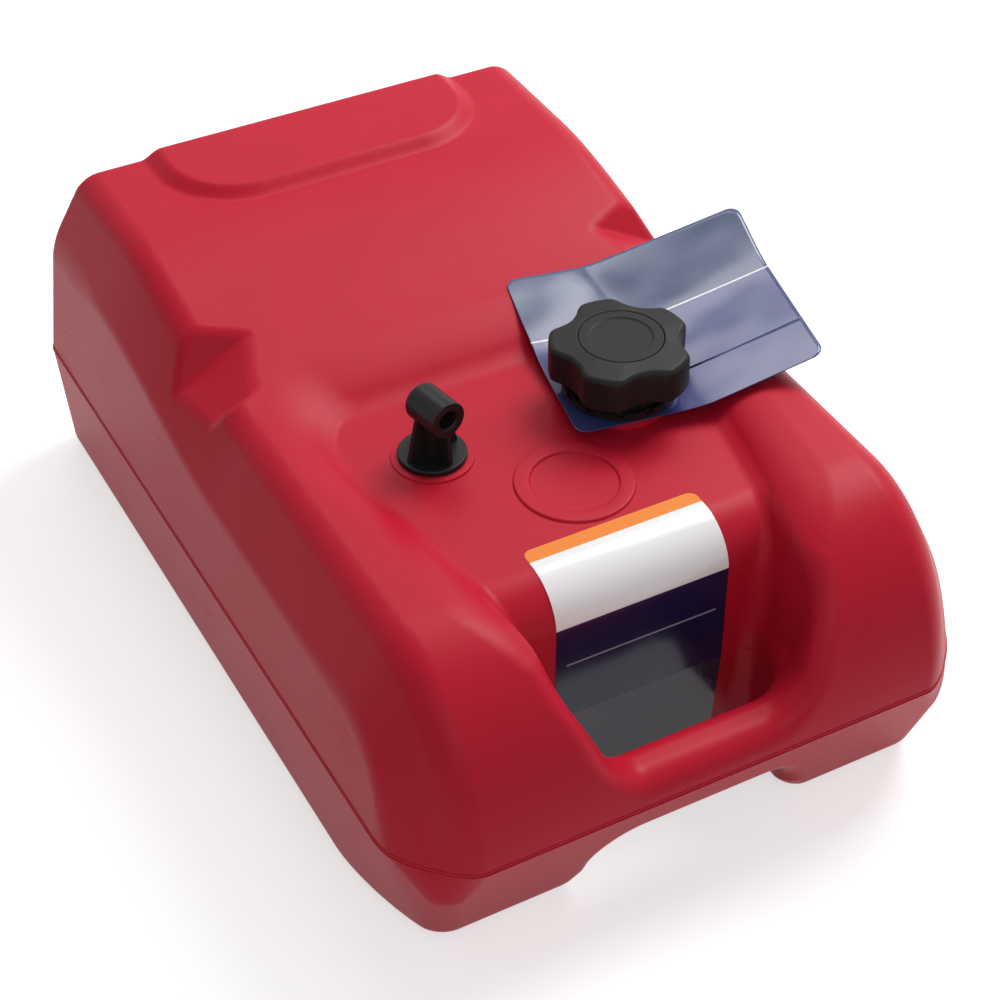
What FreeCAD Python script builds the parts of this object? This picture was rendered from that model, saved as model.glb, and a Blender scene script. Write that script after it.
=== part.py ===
import FreeCAD, Part
import math
import os

# Portable outboard fuel tank: a hollow blow-moulded shell with a carrying bar, a fuel outlet
# fitting with its pickup tube, and a ratcheting vented filler cap. Millimetres, +Z up.
# The origin is the centre of the flat base. The carrying bar is at -Y, the high end at +Y.

os.makedirs("parts", exist_ok=True)
V = FreeCAD.Vector

# ---- shell: overall sizes ----
BODY_WIDTH = 350.0          # across the parting line
BODY_LENGTH = 526.0         # front of the carrying bar to the back, at the parting line
SEAM_HEIGHT = 72.7          # parting line above the base
DECK_HEIGHT = 204.6         # flat rear deck above the base
RAIL_DROP = 27.1            # side rails below the deck
WALL = 3.5                  # wall of the blow-moulded shell
SIDE_DRAFT = 4.2            # degrees, upper side walls
BACK_DRAFT = 11.0           # degrees, upper back wall
LOWER_DRAFT = 2.0           # degrees, lower side and back walls
FRONT_RAKE = 30.5           # how far the lower front sets back at the base

# ---- shell: plan corners, as lengths along the sides ----
CORNER_CUT_SIDE = 42.6      # front corner cut, along the side wall
CORNER_CUT_FRONT = 24.2     # front corner cut, along the front
FOOT_CUT_SIDE = 70.0        # the same cut at the base
FOOT_CUT_FRONT = 24.0
BACK_CORNER_R = 16.0
FRONT_CORNER_R = 14.0
BASE_EDGE_R = 11.0

# ---- shell: deck, chamfers and nose ----
DECK_LENGTH = 95.0          # flat part of the deck, forward from the back at the parting line
SLOPE_LENGTH = 178.0        # deck blends down to the rails over this length
NOSE_LENGTH = 88.0          # rails curve down to the parting line over this length
RIDGE_HALF_WIDTH = 144.5    # half the width between the two chamfer ridges
CHAMFER_SLOPE_DECK = 0.50   # sideways run of the chamfer per unit of height, at the deck
CHAMFER_SLOPE_RAIL = 0.59   # and along the rails
CHAMFER_FADE = 113.0        # the chamfer turns upright over this length at the nose
PAD_HALF_WIDTH = 106.0
PAD_LENGTH = 97.0           # raised pad on the deck, forward from the back
PAD_RISE = 6.0
PAD_CORNER_R = 38.0
PAD_FLARE = 1.7             # run of the pad's edge per unit of height

# ---- shell: strap notches in the ridges ----
NOTCH_SETBACK = 217.0       # middle of the notch, forward from the back
NOTCH_WIDTH = 38.0
NOTCH_ANGLE = 29.5          # degrees, slope of the notch floor
NOTCH_DEPTH = 14.5          # upright, below the ridge
NOTCH_FLARE = 0.85          # run of the notch's end walls per unit of depth

# ---- shell: well for the fittings ----
WELL_DEPTH = 12.1           # back of the well floor below the rails
WELL_FALL = 1.3             # degrees, floor falls towards the bar
WELL_SETBACK = 266.0        # back of the well floor, forward from the back
WELL_HALF_WIDTH = 105.0
WELL_CORNER_R = 40.0
WELL_STRAIGHT = 50.0        # the floor keeps its full width over this length
WELL_FLARE = 1.30           # run of the well's walls per unit of height
WELL_BACK_FLARE = 1.20      # the back wall's run is this much longer
WELL_WAIST_R = 60.0         # soft turns in the well's side walls
GRIP_FLARE = 0.85           # share of that run left beside the grip wall
CORNER_FLARE = 0.5          # the well's back corners open by this share of the run
GRIP_WALL_SETBACK = 78.2    # upright wall behind the bar, back from the front
GRIP_ROLL_R = 27.0          # the floor rolls over into that wall
GRIP_TOP_HALF_WIDTH = 78.0
GRIP_LOW_HALF_WIDTH = 71.0  # width beside the top of the bar

# ---- shell: carrying bar, finger hole and arch ----
BAR_DEPTH = 32.0
BAR_TOP = 91.0
BAR_UNDERSIDE = 43.0
BAR_EDGE_R = 11.0           # front top and back lower edges
BAR_BACK_EDGE_R = 4.0       # back top edge
HOLE_BACK_HALF_WIDTH = 73.0
HOLE_FRONT_HALF_WIDTH = 62.0
HOLE_CORNER_R = 12.0
HOLE_WALL_DRAFT = 4.8       # degrees, wall behind the bar below the parting line
ARCH_TOP_HALF_WIDTH = 46.0
ARCH_BASE_HALF_WIDTH = 78.0
ARCH_EDGE_R = 9.0

# ---- shell: features on the well floor ----
CAP_X = 58.0                # filler axis
FITTING_X = -58.0           # outlet axis
CAP_SETBACK = 322.0         # filler axis, forward from the back
OUTLET_SETBACK = 319.0      # outlet axis, forward from the back
RING_SETBACK = 373.5        # middle of the blank gauge seat
RING_OUTER_R = 32.9
RING_INNER_R = 24.6
RING_RISE = 1.4
SEAT_RISE = 1.0             # flat seats under the fitting and the neck
SEAT_MARGIN = 3.9           # seat beyond the fitting's flange

# ---- filler neck and cap thread ----
THROAT_R = 20.0             # bore of the filler neck
NECK_WALL = 3.6
NECK_HEIGHT = 29.0          # lip above the well floor
THREAD_DEPTH = 2.0
THREAD_PITCH = 6.0
THREAD_TURNS = 1.75
THREAD_CLEARANCE = 0.35
THREAD_BASE = 3.0           # width of the thread at its root
THREAD_CREST = 1.4
THREAD_BITE = 0.3           # threads are rooted this deep in their wall
THREAD_START = 8.0          # start of the neck's thread above the well floor
NECK_SHOULDER_R = 27.5
NECK_SHOULDER_HEIGHT = 5.5

# ---- cap ----
CAP_LOW = 9.0               # underside of the cap's collar above the well floor
CAP_R = 39.7                # over the lobes
CAP_LOBES = 5
FLUTE_R = 22.0
FLUTE_DEPTH = 6.7
FLUTE_EDGE_R = 5.0
FLUTE_TURN = 41.0           # degrees, where the first flute lies
KNOB_RISE = 8.5             # lower edge of the knob above the collar's underside
KNOB_HEIGHT = 25.0
KNOB_TOP = 3.2
KNOB_EDGE_R = 2.5
CORE_WALL = 3.2
CORE_TOP = 3.0
COLLAR_R = 32.6             # collar of the core, which shows below the knob
COLLAR_THICKNESS = 4.2
COLLAR_SLOTS = 12
COLLAR_SLOT_WIDTH = 5.0
COLLAR_SLOT_DEPTH = 1.6
KNOB_CLEARANCE = 0.3        # between the knob and the core
BEAD_HEIGHT = 1.8           # snap bead that holds the knob on the core
BEAD_DEPTH = 0.95
BEAD_RISE = 4.5             # above the knob's lower edge
GASKET_THICKNESS = 2.4
GASKET_GAP = 0.3            # gasket above the neck's lip
GASKET_CLEARANCE = 0.2      # gasket inside the core
PLUG_R = 23.7               # disc let into the knob's top
PLUG_THICKNESS = 1.8
PLUG_DISH_R = 17.0
PLUG_DISH_DEPTH = 0.6
PLUG_GAP = 0.35
PLUG_EDGE_R = 0.4
PLUG_POST_R = 4.0
PLUG_POST_CLEARANCE = 0.1
RATCHET_TEETH = 30
RATCHET_DEPTH = 1.6
RATCHET_HEIGHT = 2.6
RATCHET_ROOT = 0.8          # rim that carries the ratchet teeth
PAWL_ARMS = 3
PAWL_WIDTH = 1.7
PAWL_HEIGHT = 3.8
PAWL_CLEARANCE = 0.3
PAWL_HUB_R = 16.0
PAWL_HUB_WIDTH = 3.0
PAWL_SWEEP = 80.0           # degrees spanned by one arm
PAWL_PEG_R = 1.2
PAWL_PEG_DEPTH = 1.5

# ---- vacuum valve in the cap ----
VALVE_R = 8.5
VALVE_FLANGE_R = 11.0
VALVE_FLANGE_THICKNESS = 1.5
VALVE_DEPTH = 13.0
VALVE_BORE_R = 5.5
SHELF_HEIGHT = 2.2          # shelf above the valve's lower end
SHELF_THICKNESS = 2.0
SHELF_HOLES = 4
SHELF_HOLE_R = 1.0
SHELF_HOLE_RING_R = 3.7
STEM_R = 1.5
STEM_CLEARANCE = 0.08
POPPET_R = 7.2
POPPET_THICKNESS = 1.6
POPPET_TRAVEL = 2.0         # how far the poppet can open
SEAL_THICKNESS = 1.2
SEAL_GAP = 0.1              # seal below its seat
SPRING_WIRE_R = 0.3
SPRING_COILS = 4.0
SPRING_R = 2.6
SPRING_GAP = 0.05
SPRING_SPARE = 2.9          # spring left uncompressed at the end of the travel
RETAINER_R = 4.2
RETAINER_THICKNESS = 1.2
SCREEN_THICKNESS = 0.5
SCREEN_HOLE_R = 0.9
SCREEN_HOLES = 8

# ---- outlet fitting ----
FLANGE_R = 19.2
FLANGE_THICKNESS = 3.2
FLANGE_LIP = 3.0            # lip round the gasket
FLANGE_EDGE_R = 0.8
STEM_OUTER_R = 10.8         # plain stem below the flange
PORT_CLEARANCE = 0.2        # stem inside the port
PORT_WALL = 3.0             # collar moulded under the port
PORT_DEPTH = 15.0
PORT_GASKET_R = 15.5
PORT_GASKET_THICKNESS = 1.0
BARREL_R = 10.8
BARREL_HEIGHT = 31.5        # barrel axis above the flange's underside
BARREL_FRONT = 15.0         # barrel's face ahead of the fitting's axis
BARREL_BACK = 11.0
BARREL_EDGE_R = 3.5
BARREL_FACE_R = 0.6
BARREL_YAW = 11.0           # degrees, barrel turned from straight ahead
PIPE_MINOR_R = 5.6          # 1/4 NPT pipe thread, drawn without its taper
PIPE_DEPTH = 17.0
PIPE_PITCH = 1.411
PIPE_GROOVE = 0.65          # width of the thread groove at the bore
PIPE_ROOT = 0.2             # and at its root
PIPE_THREAD_DEPTH = 1.0
PIPE_THREAD_TURNS = 7.0
FUEL_WAY_R = 3.0
RIB_THICKNESS = 2.6
RIB_HALF_WIDTH = 16.5       # ribs at the flange
RIB_INSET = 1.0             # ribs end inside the barrel's outline
COLUMN_R = 6.0
TUBE_R = 4.2
TUBE_WALL = 1.1
TUBE_CLEARANCE = 0.05
TUBE_SOCKET = 10.0
TUBE_FLOOR_GAP = 9.0        # open end of the tube above the inside of the base
STRAINER_R = 6.8
STRAINER_WALL = 1.0
STRAINER_RISE = 11.0        # strainer reaches this far above the tube's open end
STRAINER_DROP = 6.0         # and this far below it
STRAINER_SLOTS = 8
STRAINER_SLOT_WIDTH = 2.2
STRAINER_CAP = 2.0          # solid ends of the strainer
MESH_THICKNESS = 0.3
MESH_GAP = 0.1

# ---- label and card ----
LABEL_WIDTH = 105.0
LABEL_THICKNESS = 0.25
LABEL_SETBACK = 116.5       # label's top edge, back from the front
LABEL_LOW = 10.0            # label's lower edge above the base
LABEL_CORNER_R = 5.0
CARD_WIDTH = 150.0
CARD_DEPTH = 128.0
CARD_THICKNESS = 0.4
CARD_CORNER_R = 7.0
CARD_HOLE_CLEARANCE = 0.8   # card hole round the neck's thread
CARD_TURN = -8.5            # degrees
CARD_SHIFT_X = 47.0         # middle of the card from the filler axis
CARD_SHIFT_Y = 28.5
CARD_HEIGHT = 6.6           # card above the well floor, at the neck
CARD_DECK_BEND = 37.0       # card climbs over the back of the well, from this far behind the filler axis
CARD_RAIL_BEND = 33.0       # and over the side rail, from this far beside it
CARD_SOFTNESS = 8.0         # length of the card's bends
CARD_EDGE_GAP = 0.3         # card above the edges that it climbs over
CARD_SLIT = 2.4             # slit's width at the hole

# ---- worked out ----
BACK = BODY_LENGTH / 2
FRONT = -BODY_LENGTH / 2
HALF_WIDTH = BODY_WIDTH / 2
DECK_FRONT = BACK - DECK_LENGTH
RAIL_BACK = DECK_FRONT - SLOPE_LENGTH
NOSE_BACK = FRONT + NOSE_LENGTH
WELL_BACK = BACK - WELL_SETBACK
RAIL_HEIGHT = DECK_HEIGHT - RAIL_DROP
WELL_FLOOR = RAIL_HEIGHT - WELL_DEPTH
CAP_Y = BACK - CAP_SETBACK
OUTLET_Y = BACK - OUTLET_SETBACK
RING_Y = BACK - RING_SETBACK
GRIP_WALL = FRONT + GRIP_WALL_SETBACK
BAR_BACK = FRONT + BAR_DEPTH
OVER = 40.0                 # cutting tools reach this far past what they cut
BITE = 1.0                  # the same for small cuts, and the depth of small joins
QUARTER = 0.5523            # handle length of a curve that draws a quarter ellipse
TOUCH = 0.01                # tolerance when an edge is picked by its place
EDGE_SPARE = 1.0            # smallest rounding that the hollow follows
FLOOR = WELL_FLOOR - (WELL_BACK - CAP_Y) * math.tan(math.radians(WELL_FALL))
NECK_R = THROAT_R + NECK_WALL
THREAD_R = NECK_R + THREAD_DEPTH
LIP = FLOOR + NECK_HEIGHT
CORE_BORE = THREAD_R + THREAD_CLEARANCE
CORE_R = CORE_BORE + CORE_WALL
CAP_BASE = FLOOR + CAP_LOW
CORE_CEILING = LIP + GASKET_GAP + GASKET_THICKNESS + GASKET_CLEARANCE
CORE_CROWN = CORE_CEILING + CORE_TOP
KNOB_BASE = CAP_BASE + KNOB_RISE
KNOB_CROWN = KNOB_BASE + KNOB_HEIGHT
KNOB_CEILING = KNOB_CROWN - KNOB_TOP
KNOB_BORE = CORE_R + KNOB_CLEARANCE
SEAT = FLOOR + SEAT_RISE
STEM_TOP = SEAT + PORT_GASKET_THICKNESS
TUBE_LOW = WALL + TUBE_FLOOR_GAP


def export(shape, name):
    shape.exportStep("parts/" + name + ".step")
    print(name, len(shape.Solids), round(shape.Volume), shape.isValid())


# ---------- drawing helpers ----------

def corner_arc(before, corner, after, radius):
    """Arc that rounds a corner, with its two ends."""
    a = (before - corner).normalize()
    b = (after - corner).normalize()
    half = a.getAngle(b) / 2
    reach = radius / math.tan(half)
    start = corner + a * reach
    end = corner + b * reach
    middle_line = (a + b).normalize()
    middle = corner + middle_line * (radius / math.sin(half) - radius)
    return start, middle, end


def rounded_wire(points, radii):
    """Closed wire through the points, each corner rounded by its radius."""
    edges = []
    ends = []
    count = len(points)
    for i in range(count):
        if radii[i] > 0:
            start, middle, end = corner_arc(points[i - 1], points[i], points[(i + 1) % count], radii[i])
            ends.append((start, end))
            edges.append(Part.Arc(start, middle, end).toShape())
        else:
            ends.append((points[i], points[i]))
            edges.append(None)
    path = []
    for i in range(count):
        if edges[i] is not None:
            path.append(edges[i])
        path.append(Part.LineSegment(ends[i][1], ends[(i + 1) % count][0]).toShape())
    return Part.Wire(path)


def mirrored(right_side, z):
    """Outline points from those of its +X side, listed from front to back."""
    left = [V(-x, y, z) for x, y in reversed(right_side)]
    return [V(x, y, z) for x, y in right_side] + left


def prism(wire, direction):
    return Part.Face(wire).extrude(direction)


def loft(wires, ruled):
    return Part.makeLoft(wires, True, ruled)


def cylinder(radius, low, high, x=0.0, y=0.0):
    return Part.makeCylinder(radius, high - low, V(x, y, low))


def ring(outer, inner, low, high, x=0.0, y=0.0):
    return cylinder(outer, low, high, x, y).cut(cylinder(inner, low, high, x, y))


def nearest_edge(shape, spot):
    vertex = Part.Vertex(spot)
    return min(shape.Edges, key=lambda edge: edge.distToShape(vertex)[0])


def top_edges(shape, height):
    return [edge for edge in shape.Edges if edge.BoundBox.ZMin > height - TOUCH]


def block(x0, x1, y0, y1, z0, z1):
    return Part.makeBox(x1 - x0, y1 - y0, z1 - z0, V(x0, y0, z0))


def tan(degrees):
    return math.tan(math.radians(degrees))


# ---------- shell ----------

def deck_height(y):
    """Height of the ridges and the deck along the tank."""
    if y >= DECK_FRONT:
        return DECK_HEIGHT
    if y >= RAIL_BACK:
        t = (y - RAIL_BACK) / SLOPE_LENGTH
        return RAIL_HEIGHT + (DECK_HEIGHT - RAIL_HEIGHT) * t * t * (3 - 2 * t)
    if y >= NOSE_BACK:
        return RAIL_HEIGHT
    t = min(1.0, (NOSE_BACK - y) / NOSE_LENGTH)
    return SEAM_HEIGHT + (RAIL_HEIGHT - SEAM_HEIGHT) * math.sqrt(1 - t * t)


def chamfer_slope(y):
    """Sideways run of the chamfer per unit of height, along the tank."""
    share = (deck_height(y) - RAIL_HEIGHT) / (DECK_HEIGHT - RAIL_HEIGHT)
    slope = CHAMFER_SLOPE_RAIL + (CHAMFER_SLOPE_DECK - CHAMFER_SLOPE_RAIL) * max(0.0, share)
    fade = (FRONT + CHAMFER_FADE - y) / CHAMFER_FADE
    if fade > 0:
        slope = slope * (1 - fade ** 3)
    return slope


def side_profile(inset):
    """Side view of the upper half: deck, slope, rails and nose, as a solid across the width."""
    top = DECK_HEIGHT - inset
    rail = RAIL_HEIGHT - inset
    front = FRONT + inset
    back = BACK + OVER
    handle = SLOPE_LENGTH / 3
    slope = Part.BezierCurve()
    slope.setPoles([V(0, DECK_FRONT, top), V(0, DECK_FRONT - handle, top),
                    V(0, RAIL_BACK + handle, rail), V(0, RAIL_BACK, rail)])
    nose_height = rail - SEAM_HEIGHT
    nose_length = NOSE_LENGTH - inset
    high = V(0, NOSE_BACK, rail)
    low = V(0, front, SEAM_HEIGHT)
    nose = Part.BezierCurve()
    nose.setPoles([high, high - V(0, nose_length * QUARTER, 0), low + V(0, 0, nose_height * QUARTER), low])
    edges = [Part.LineSegment(V(0, back, top), V(0, DECK_FRONT, top)).toShape(),
             slope.toShape(),
             Part.LineSegment(V(0, RAIL_BACK, rail), V(0, NOSE_BACK, rail)).toShape(),
             nose.toShape(),
             Part.LineSegment(V(0, front, SEAM_HEIGHT), V(0, back, SEAM_HEIGHT)).toShape(),
             Part.LineSegment(V(0, back, SEAM_HEIGHT), V(0, back, top)).toShape()]
    wire = Part.Wire(Part.__sortEdges__(edges))
    solid = prism(wire, V(BODY_WIDTH + 2 * OVER, 0, 0))
    solid.translate(V(-HALF_WIDTH - OVER, 0, 0))
    return solid


def chamfer_section(y, inset):
    slope = chamfer_slope(y)
    normal_inset = inset * math.sqrt(1 + slope * slope)
    low = RIDGE_HALF_WIDTH + slope * (deck_height(y) - SEAM_HEIGHT) - normal_inset
    top = DECK_HEIGHT + OVER / 2
    high = RIDGE_HALF_WIDTH - slope * (top - deck_height(y)) - normal_inset
    points = [V(low, y, SEAM_HEIGHT), V(high, y, top), V(-high, y, top), V(-low, y, SEAM_HEIGHT)]
    return Part.makePolygon(points + points[:1])


def chamfer_body(inset):
    """Everything between the two chamfers, which turn upright at the nose."""
    stations = [BACK + OVER, BACK - DECK_LENGTH / 2, DECK_FRONT]
    steps = 4
    stations += [DECK_FRONT - SLOPE_LENGTH * i / steps for i in range(1, steps + 1)]
    fade_back = FRONT + CHAMFER_FADE
    stations += [(RAIL_BACK + fade_back) / 2, fade_back]
    steps = 7
    stations += [fade_back - CHAMFER_FADE * i / steps for i in range(1, steps + 1)]
    return loft([chamfer_section(y, inset) for y in stations], False)


def outline(z, side_in, front_in, back_in, cut_side, cut_front, inset):
    """Plan outline of the shell at one height, with its front corners cut."""
    half = HALF_WIDTH - side_in - inset
    front = FRONT + front_in + inset
    back = BACK - back_in - inset
    right = [(half - cut_front, front), (half, front + cut_side), (half, back)]
    radii = [FRONT_CORNER_R, FRONT_CORNER_R, BACK_CORNER_R - inset]
    return rounded_wire(mirrored(right, z), radii + radii[::-1])


def upper_half(inset):
    top = DECK_HEIGHT + OVER / 2
    rise = top - SEAM_HEIGHT
    low = outline(SEAM_HEIGHT, 0, 0, 0, CORNER_CUT_SIDE, CORNER_CUT_FRONT, inset)
    high = outline(top, rise * tan(SIDE_DRAFT), 0, rise * tan(BACK_DRAFT), CORNER_CUT_SIDE,
                   CORNER_CUT_FRONT, inset)
    return loft([low, high], True).common(side_profile(inset)).common(chamfer_body(inset))


def lower_half(inset):
    drop = (SEAM_HEIGHT - inset) * tan(LOWER_DRAFT)
    seam = outline(SEAM_HEIGHT, 0, 0, 0, CORNER_CUT_SIDE, CORNER_CUT_FRONT, inset)
    rake = FRONT_RAKE * (SEAM_HEIGHT - inset) / SEAM_HEIGHT
    base = outline(inset, drop, rake, drop, FOOT_CUT_SIDE, FOOT_CUT_FRONT, inset)
    solid = loft([seam, base], True)
    edges = [e for e in solid.Edges if e.BoundBox.ZMax < inset + TOUCH]
    return solid.makeFillet(BASE_EDGE_R - inset, edges)


def pad(inset):
    low_half = PAD_HALF_WIDTH - inset
    front = BACK - PAD_LENGTH + inset
    rise = PAD_RISE + WALL
    flare = PAD_FLARE * rise
    base = DECK_HEIGHT - WALL - inset
    sunk = PAD_FLARE * WALL
    low = [(low_half + sunk, front - sunk), (low_half + sunk, BACK + OVER)]
    high = [(low_half + sunk - flare, front - sunk + flare), (low_half + sunk - flare, BACK + OVER)]
    low_wire = rounded_wire(mirrored(low, base), [PAD_CORNER_R, 0, 0, PAD_CORNER_R])
    high_wire = rounded_wire(mirrored(high, base + rise), [PAD_CORNER_R, 0, 0, PAD_CORNER_R])
    solid = loft([low_wire, high_wire], True)
    rise_all = DECK_HEIGHT + PAD_RISE - SEAM_HEIGHT
    reach = BACK - rise_all * tan(BACK_DRAFT) - inset
    trim = block(-HALF_WIDTH, HALF_WIDTH, reach - BODY_LENGTH, reach, base, base + rise + BITE)
    return solid.common(trim)


def notch_tool(inset):
    """Wedge that cuts a strap notch through the ridge on the +X side."""
    y = BACK - NOTCH_SETBACK
    width = NOTCH_WIDTH / 2 + inset
    height = OVER
    grow = NOTCH_FLARE * height
    length = 2 * OVER
    low = [V(-length, -width, 0), V(length, -width, 0), V(length, width, 0), V(-length, width, 0)]
    high = [V(-length, -width - grow, height), V(length, -width - grow, height),
            V(length, width + grow, height), V(-length, width + grow, height)]
    tool = loft([Part.makePolygon(low + low[:1]), Part.makePolygon(high + high[:1])], True)
    tool.rotate(V(0, 0, 0), V(0, 1, 0), NOTCH_ANGLE)
    drop = NOTCH_DEPTH + inset / math.cos(math.radians(NOTCH_ANGLE))
    tool.translate(V(RIDGE_HALF_WIDTH, y, deck_height(y) - drop))
    return tool


def well_height(y):
    """Height of the well floor."""
    return WELL_FLOOR - (WELL_BACK - y) * tan(WELL_FALL)


def well_wire(level, inset):
    """Outline of the well at a level above its floor."""
    rise = level * WELL_FLARE
    half = WELL_HALF_WIDTH + rise + inset
    back = WELL_BACK + rise * WELL_BACK_FLARE + inset
    shoulder = WELL_BACK - WELL_STRAIGHT
    grip_half = GRIP_TOP_HALF_WIDTH + inset
    right = [(grip_half, FRONT - OVER), (grip_half + rise * GRIP_FLARE, GRIP_WALL)]
    right += [(half, shoulder), (half, back)]
    corner = WELL_CORNER_R + rise * CORNER_FLARE + inset
    radii = [0, WELL_WAIST_R, WELL_WAIST_R, corner]
    return rounded_wire(mirrored(right, level), radii + radii[::-1])


def well_tool(inset):
    """Dished cut above the well floor, open towards the front."""
    top = DECK_HEIGHT - WELL_FLOOR + OVER / 2
    tool = loft([well_wire(0, inset), well_wire(top, inset)], True)
    tool.rotate(V(0, WELL_BACK, 0), V(1, 0, 0), WELL_FALL)
    tool.translate(V(0, 0, WELL_FLOOR - inset))
    return tool


def grip_side(inset):
    """Side view of the space above the bar: floor, roll-over and upright wall."""
    roll = GRIP_ROLL_R + inset
    wall = GRIP_WALL + inset
    start = wall + roll
    floor = well_height(start) - inset
    low = BAR_TOP - inset
    share = math.sqrt(0.5)
    halfway = V(0, start - roll * share, floor - roll * (1 - share))
    edges = [Part.Arc(V(0, start, floor), halfway, V(0, wall, floor - roll)).toShape(),
             Part.LineSegment(V(0, wall, floor - roll), V(0, wall, low)).toShape(),
             Part.LineSegment(V(0, wall, low), V(0, FRONT - OVER, low)).toShape(),
             Part.LineSegment(V(0, FRONT - OVER, low), V(0, FRONT - OVER, DECK_HEIGHT)).toShape(),
             Part.LineSegment(V(0, FRONT - OVER, DECK_HEIGHT), V(0, start, DECK_HEIGHT)).toShape(),
             Part.LineSegment(V(0, start, DECK_HEIGHT), V(0, start, floor)).toShape()]
    solid = prism(Part.Wire(edges), V(BODY_WIDTH, 0, 0))
    solid.translate(V(-HALF_WIDTH, 0, 0))
    return solid


def grip_tool(inset):
    """Cut above the bar, between the rails."""
    back = GRIP_WALL + GRIP_ROLL_R + OVER
    wires = []
    for half, z in ((GRIP_LOW_HALF_WIDTH, BAR_TOP), (GRIP_TOP_HALF_WIDTH, WELL_FLOOR)):
        right = [(half + inset, FRONT - OVER), (half + inset, back)]
        wires.append(rounded_wire(mirrored(right, z - inset), [0, 0, 0, 0]))
    slope = (GRIP_TOP_HALF_WIDTH - GRIP_LOW_HALF_WIDTH) / (WELL_FLOOR - BAR_TOP)
    top = GRIP_TOP_HALF_WIDTH + slope * (DECK_HEIGHT - WELL_FLOOR)
    right = [(top + inset, FRONT - OVER), (top + inset, back)]
    wires[1] = rounded_wire(mirrored(right, DECK_HEIGHT - inset), [0, 0, 0, 0])
    return loft(wires, True).common(grip_side(inset))


def hole_tool(inset):
    """Finger hole behind the bar, from above the bar down through the base."""
    wires = []
    below = OVER
    low_wall = GRIP_WALL + (SEAM_HEIGHT + below) * tan(HOLE_WALL_DRAFT)
    for z, wall in ((-below, low_wall), (SEAM_HEIGHT, GRIP_WALL), (BAR_TOP + BITE, GRIP_WALL)):
        right = [(HOLE_FRONT_HALF_WIDTH + inset, BAR_BACK - inset),
                 (HOLE_BACK_HALF_WIDTH + inset, wall + inset)]
        radii = [HOLE_CORNER_R, HOLE_CORNER_R]
        wires.append(rounded_wire(mirrored(right, z), radii + radii))
    return loft(wires, True)


def arch_tool(inset):
    """Arch under the bar, between the two front feet."""
    y = GRIP_WALL - BAR_DEPTH / 2
    top = BAR_UNDERSIDE + inset
    base_half = ARCH_BASE_HALF_WIDTH + inset
    top_half = ARCH_TOP_HALF_WIDTH + inset
    spread = base_half + (base_half - top_half) * OVER / top
    points = [V(-spread, y, -OVER), V(spread, y, -OVER), V(top_half, y, top), V(-top_half, y, top)]
    return prism(rounded_wire(points, [0, 0, ARCH_EDGE_R, ARCH_EDGE_R]), V(0, -BODY_LENGTH / 4, 0))


def tank_form(inset):
    """The tank's outer form, drawn in by inset. Twice, it makes the shell and its hollow."""
    form = upper_half(inset).fuse(lower_half(inset)).fuse(pad(inset))
    notch = notch_tool(inset)
    other_notch = notch.mirror(V(0, 0, 0), V(1, 0, 0))
    for tool in (well_tool(inset), grip_tool(inset), hole_tool(inset), arch_tool(inset), notch, other_notch):
        form = form.cut(tool)
    form = form.removeSplitter()
    for y, z in ((FRONT + inset, BAR_TOP - inset), (BAR_BACK - inset, BAR_UNDERSIDE + inset)):
        form = form.makeFillet(BAR_EDGE_R - inset, [nearest_edge(form, V(0, y, z))])
    if BAR_BACK_EDGE_R > inset + EDGE_SPARE:
        back_edge = nearest_edge(form, V(0, BAR_BACK - inset, BAR_TOP - inset))
        form = form.makeFillet(BAR_BACK_EDGE_R - inset, [back_edge])
    return form


# ---------- threads ----------

def thread(radius, depth, base, crest, pitch, turns):
    """Helical ridge from z = 0 that grows from radius by depth, inwards where depth is negative."""
    root = radius - THREAD_BITE * math.copysign(1.0, depth)
    helix = Part.makeHelix(pitch, pitch * turns, radius)
    points = [V(root, 0, -base / 2), V(radius + depth, 0, -crest / 2),
              V(radius + depth, 0, crest / 2), V(root, 0, base / 2)]
    profile = Part.makePolygon(points + points[:1])
    return Part.Wire(helix).makePipeShell([profile], True, True)


# ---------- tank shell ----------

def raised_ring():
    """Blank seat where a gauge would go, moulded into the well floor."""
    seat = ring(RING_OUTER_R, RING_INNER_R, -WALL / 2, RING_RISE)
    seat = seat.makeFillet(RING_RISE / 2, top_edges(seat, RING_RISE))
    seat.rotate(V(0, 0, 0), V(1, 0, 0), WELL_FALL)
    seat.translate(V(0, RING_Y, well_height(RING_Y)))
    return seat


def filler_neck():
    low = FLOOR - WALL
    neck = cylinder(NECK_R, low, LIP, CAP_X, CAP_Y)
    shoulder = cylinder(NECK_SHOULDER_R, low, FLOOR + NECK_SHOULDER_HEIGHT, CAP_X, CAP_Y)
    ridge = thread(NECK_R, THREAD_DEPTH, THREAD_BASE, THREAD_CREST, THREAD_PITCH, THREAD_TURNS)
    ridge.translate(V(CAP_X, CAP_Y, FLOOR + THREAD_START))
    return neck.fuse(shoulder).fuse(ridge)


def outlet_port():
    low = FLOOR - WALL
    seat = cylinder(FLANGE_R + SEAT_MARGIN, low, SEAT, FITTING_X, OUTLET_Y)
    collar_r = STEM_OUTER_R + PORT_CLEARANCE + PORT_WALL
    collar = cylinder(collar_r, FLOOR - PORT_DEPTH, SEAT, FITTING_X, OUTLET_Y)
    return seat.fuse(collar)


def tank_shell():
    shell = tank_form(0.0).cut(tank_form(WALL))
    shell = shell.fuse(raised_ring()).fuse(filler_neck()).fuse(outlet_port())
    throat = cylinder(THROAT_R, FLOOR - OVER, LIP + OVER, CAP_X, CAP_Y)
    port = cylinder(STEM_OUTER_R + PORT_CLEARANCE, FLOOR - OVER, FLOOR + OVER, FITTING_X, OUTLET_Y)
    return shell.cut(throat).cut(port).removeSplitter()


# ---------- cap ----------

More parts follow.
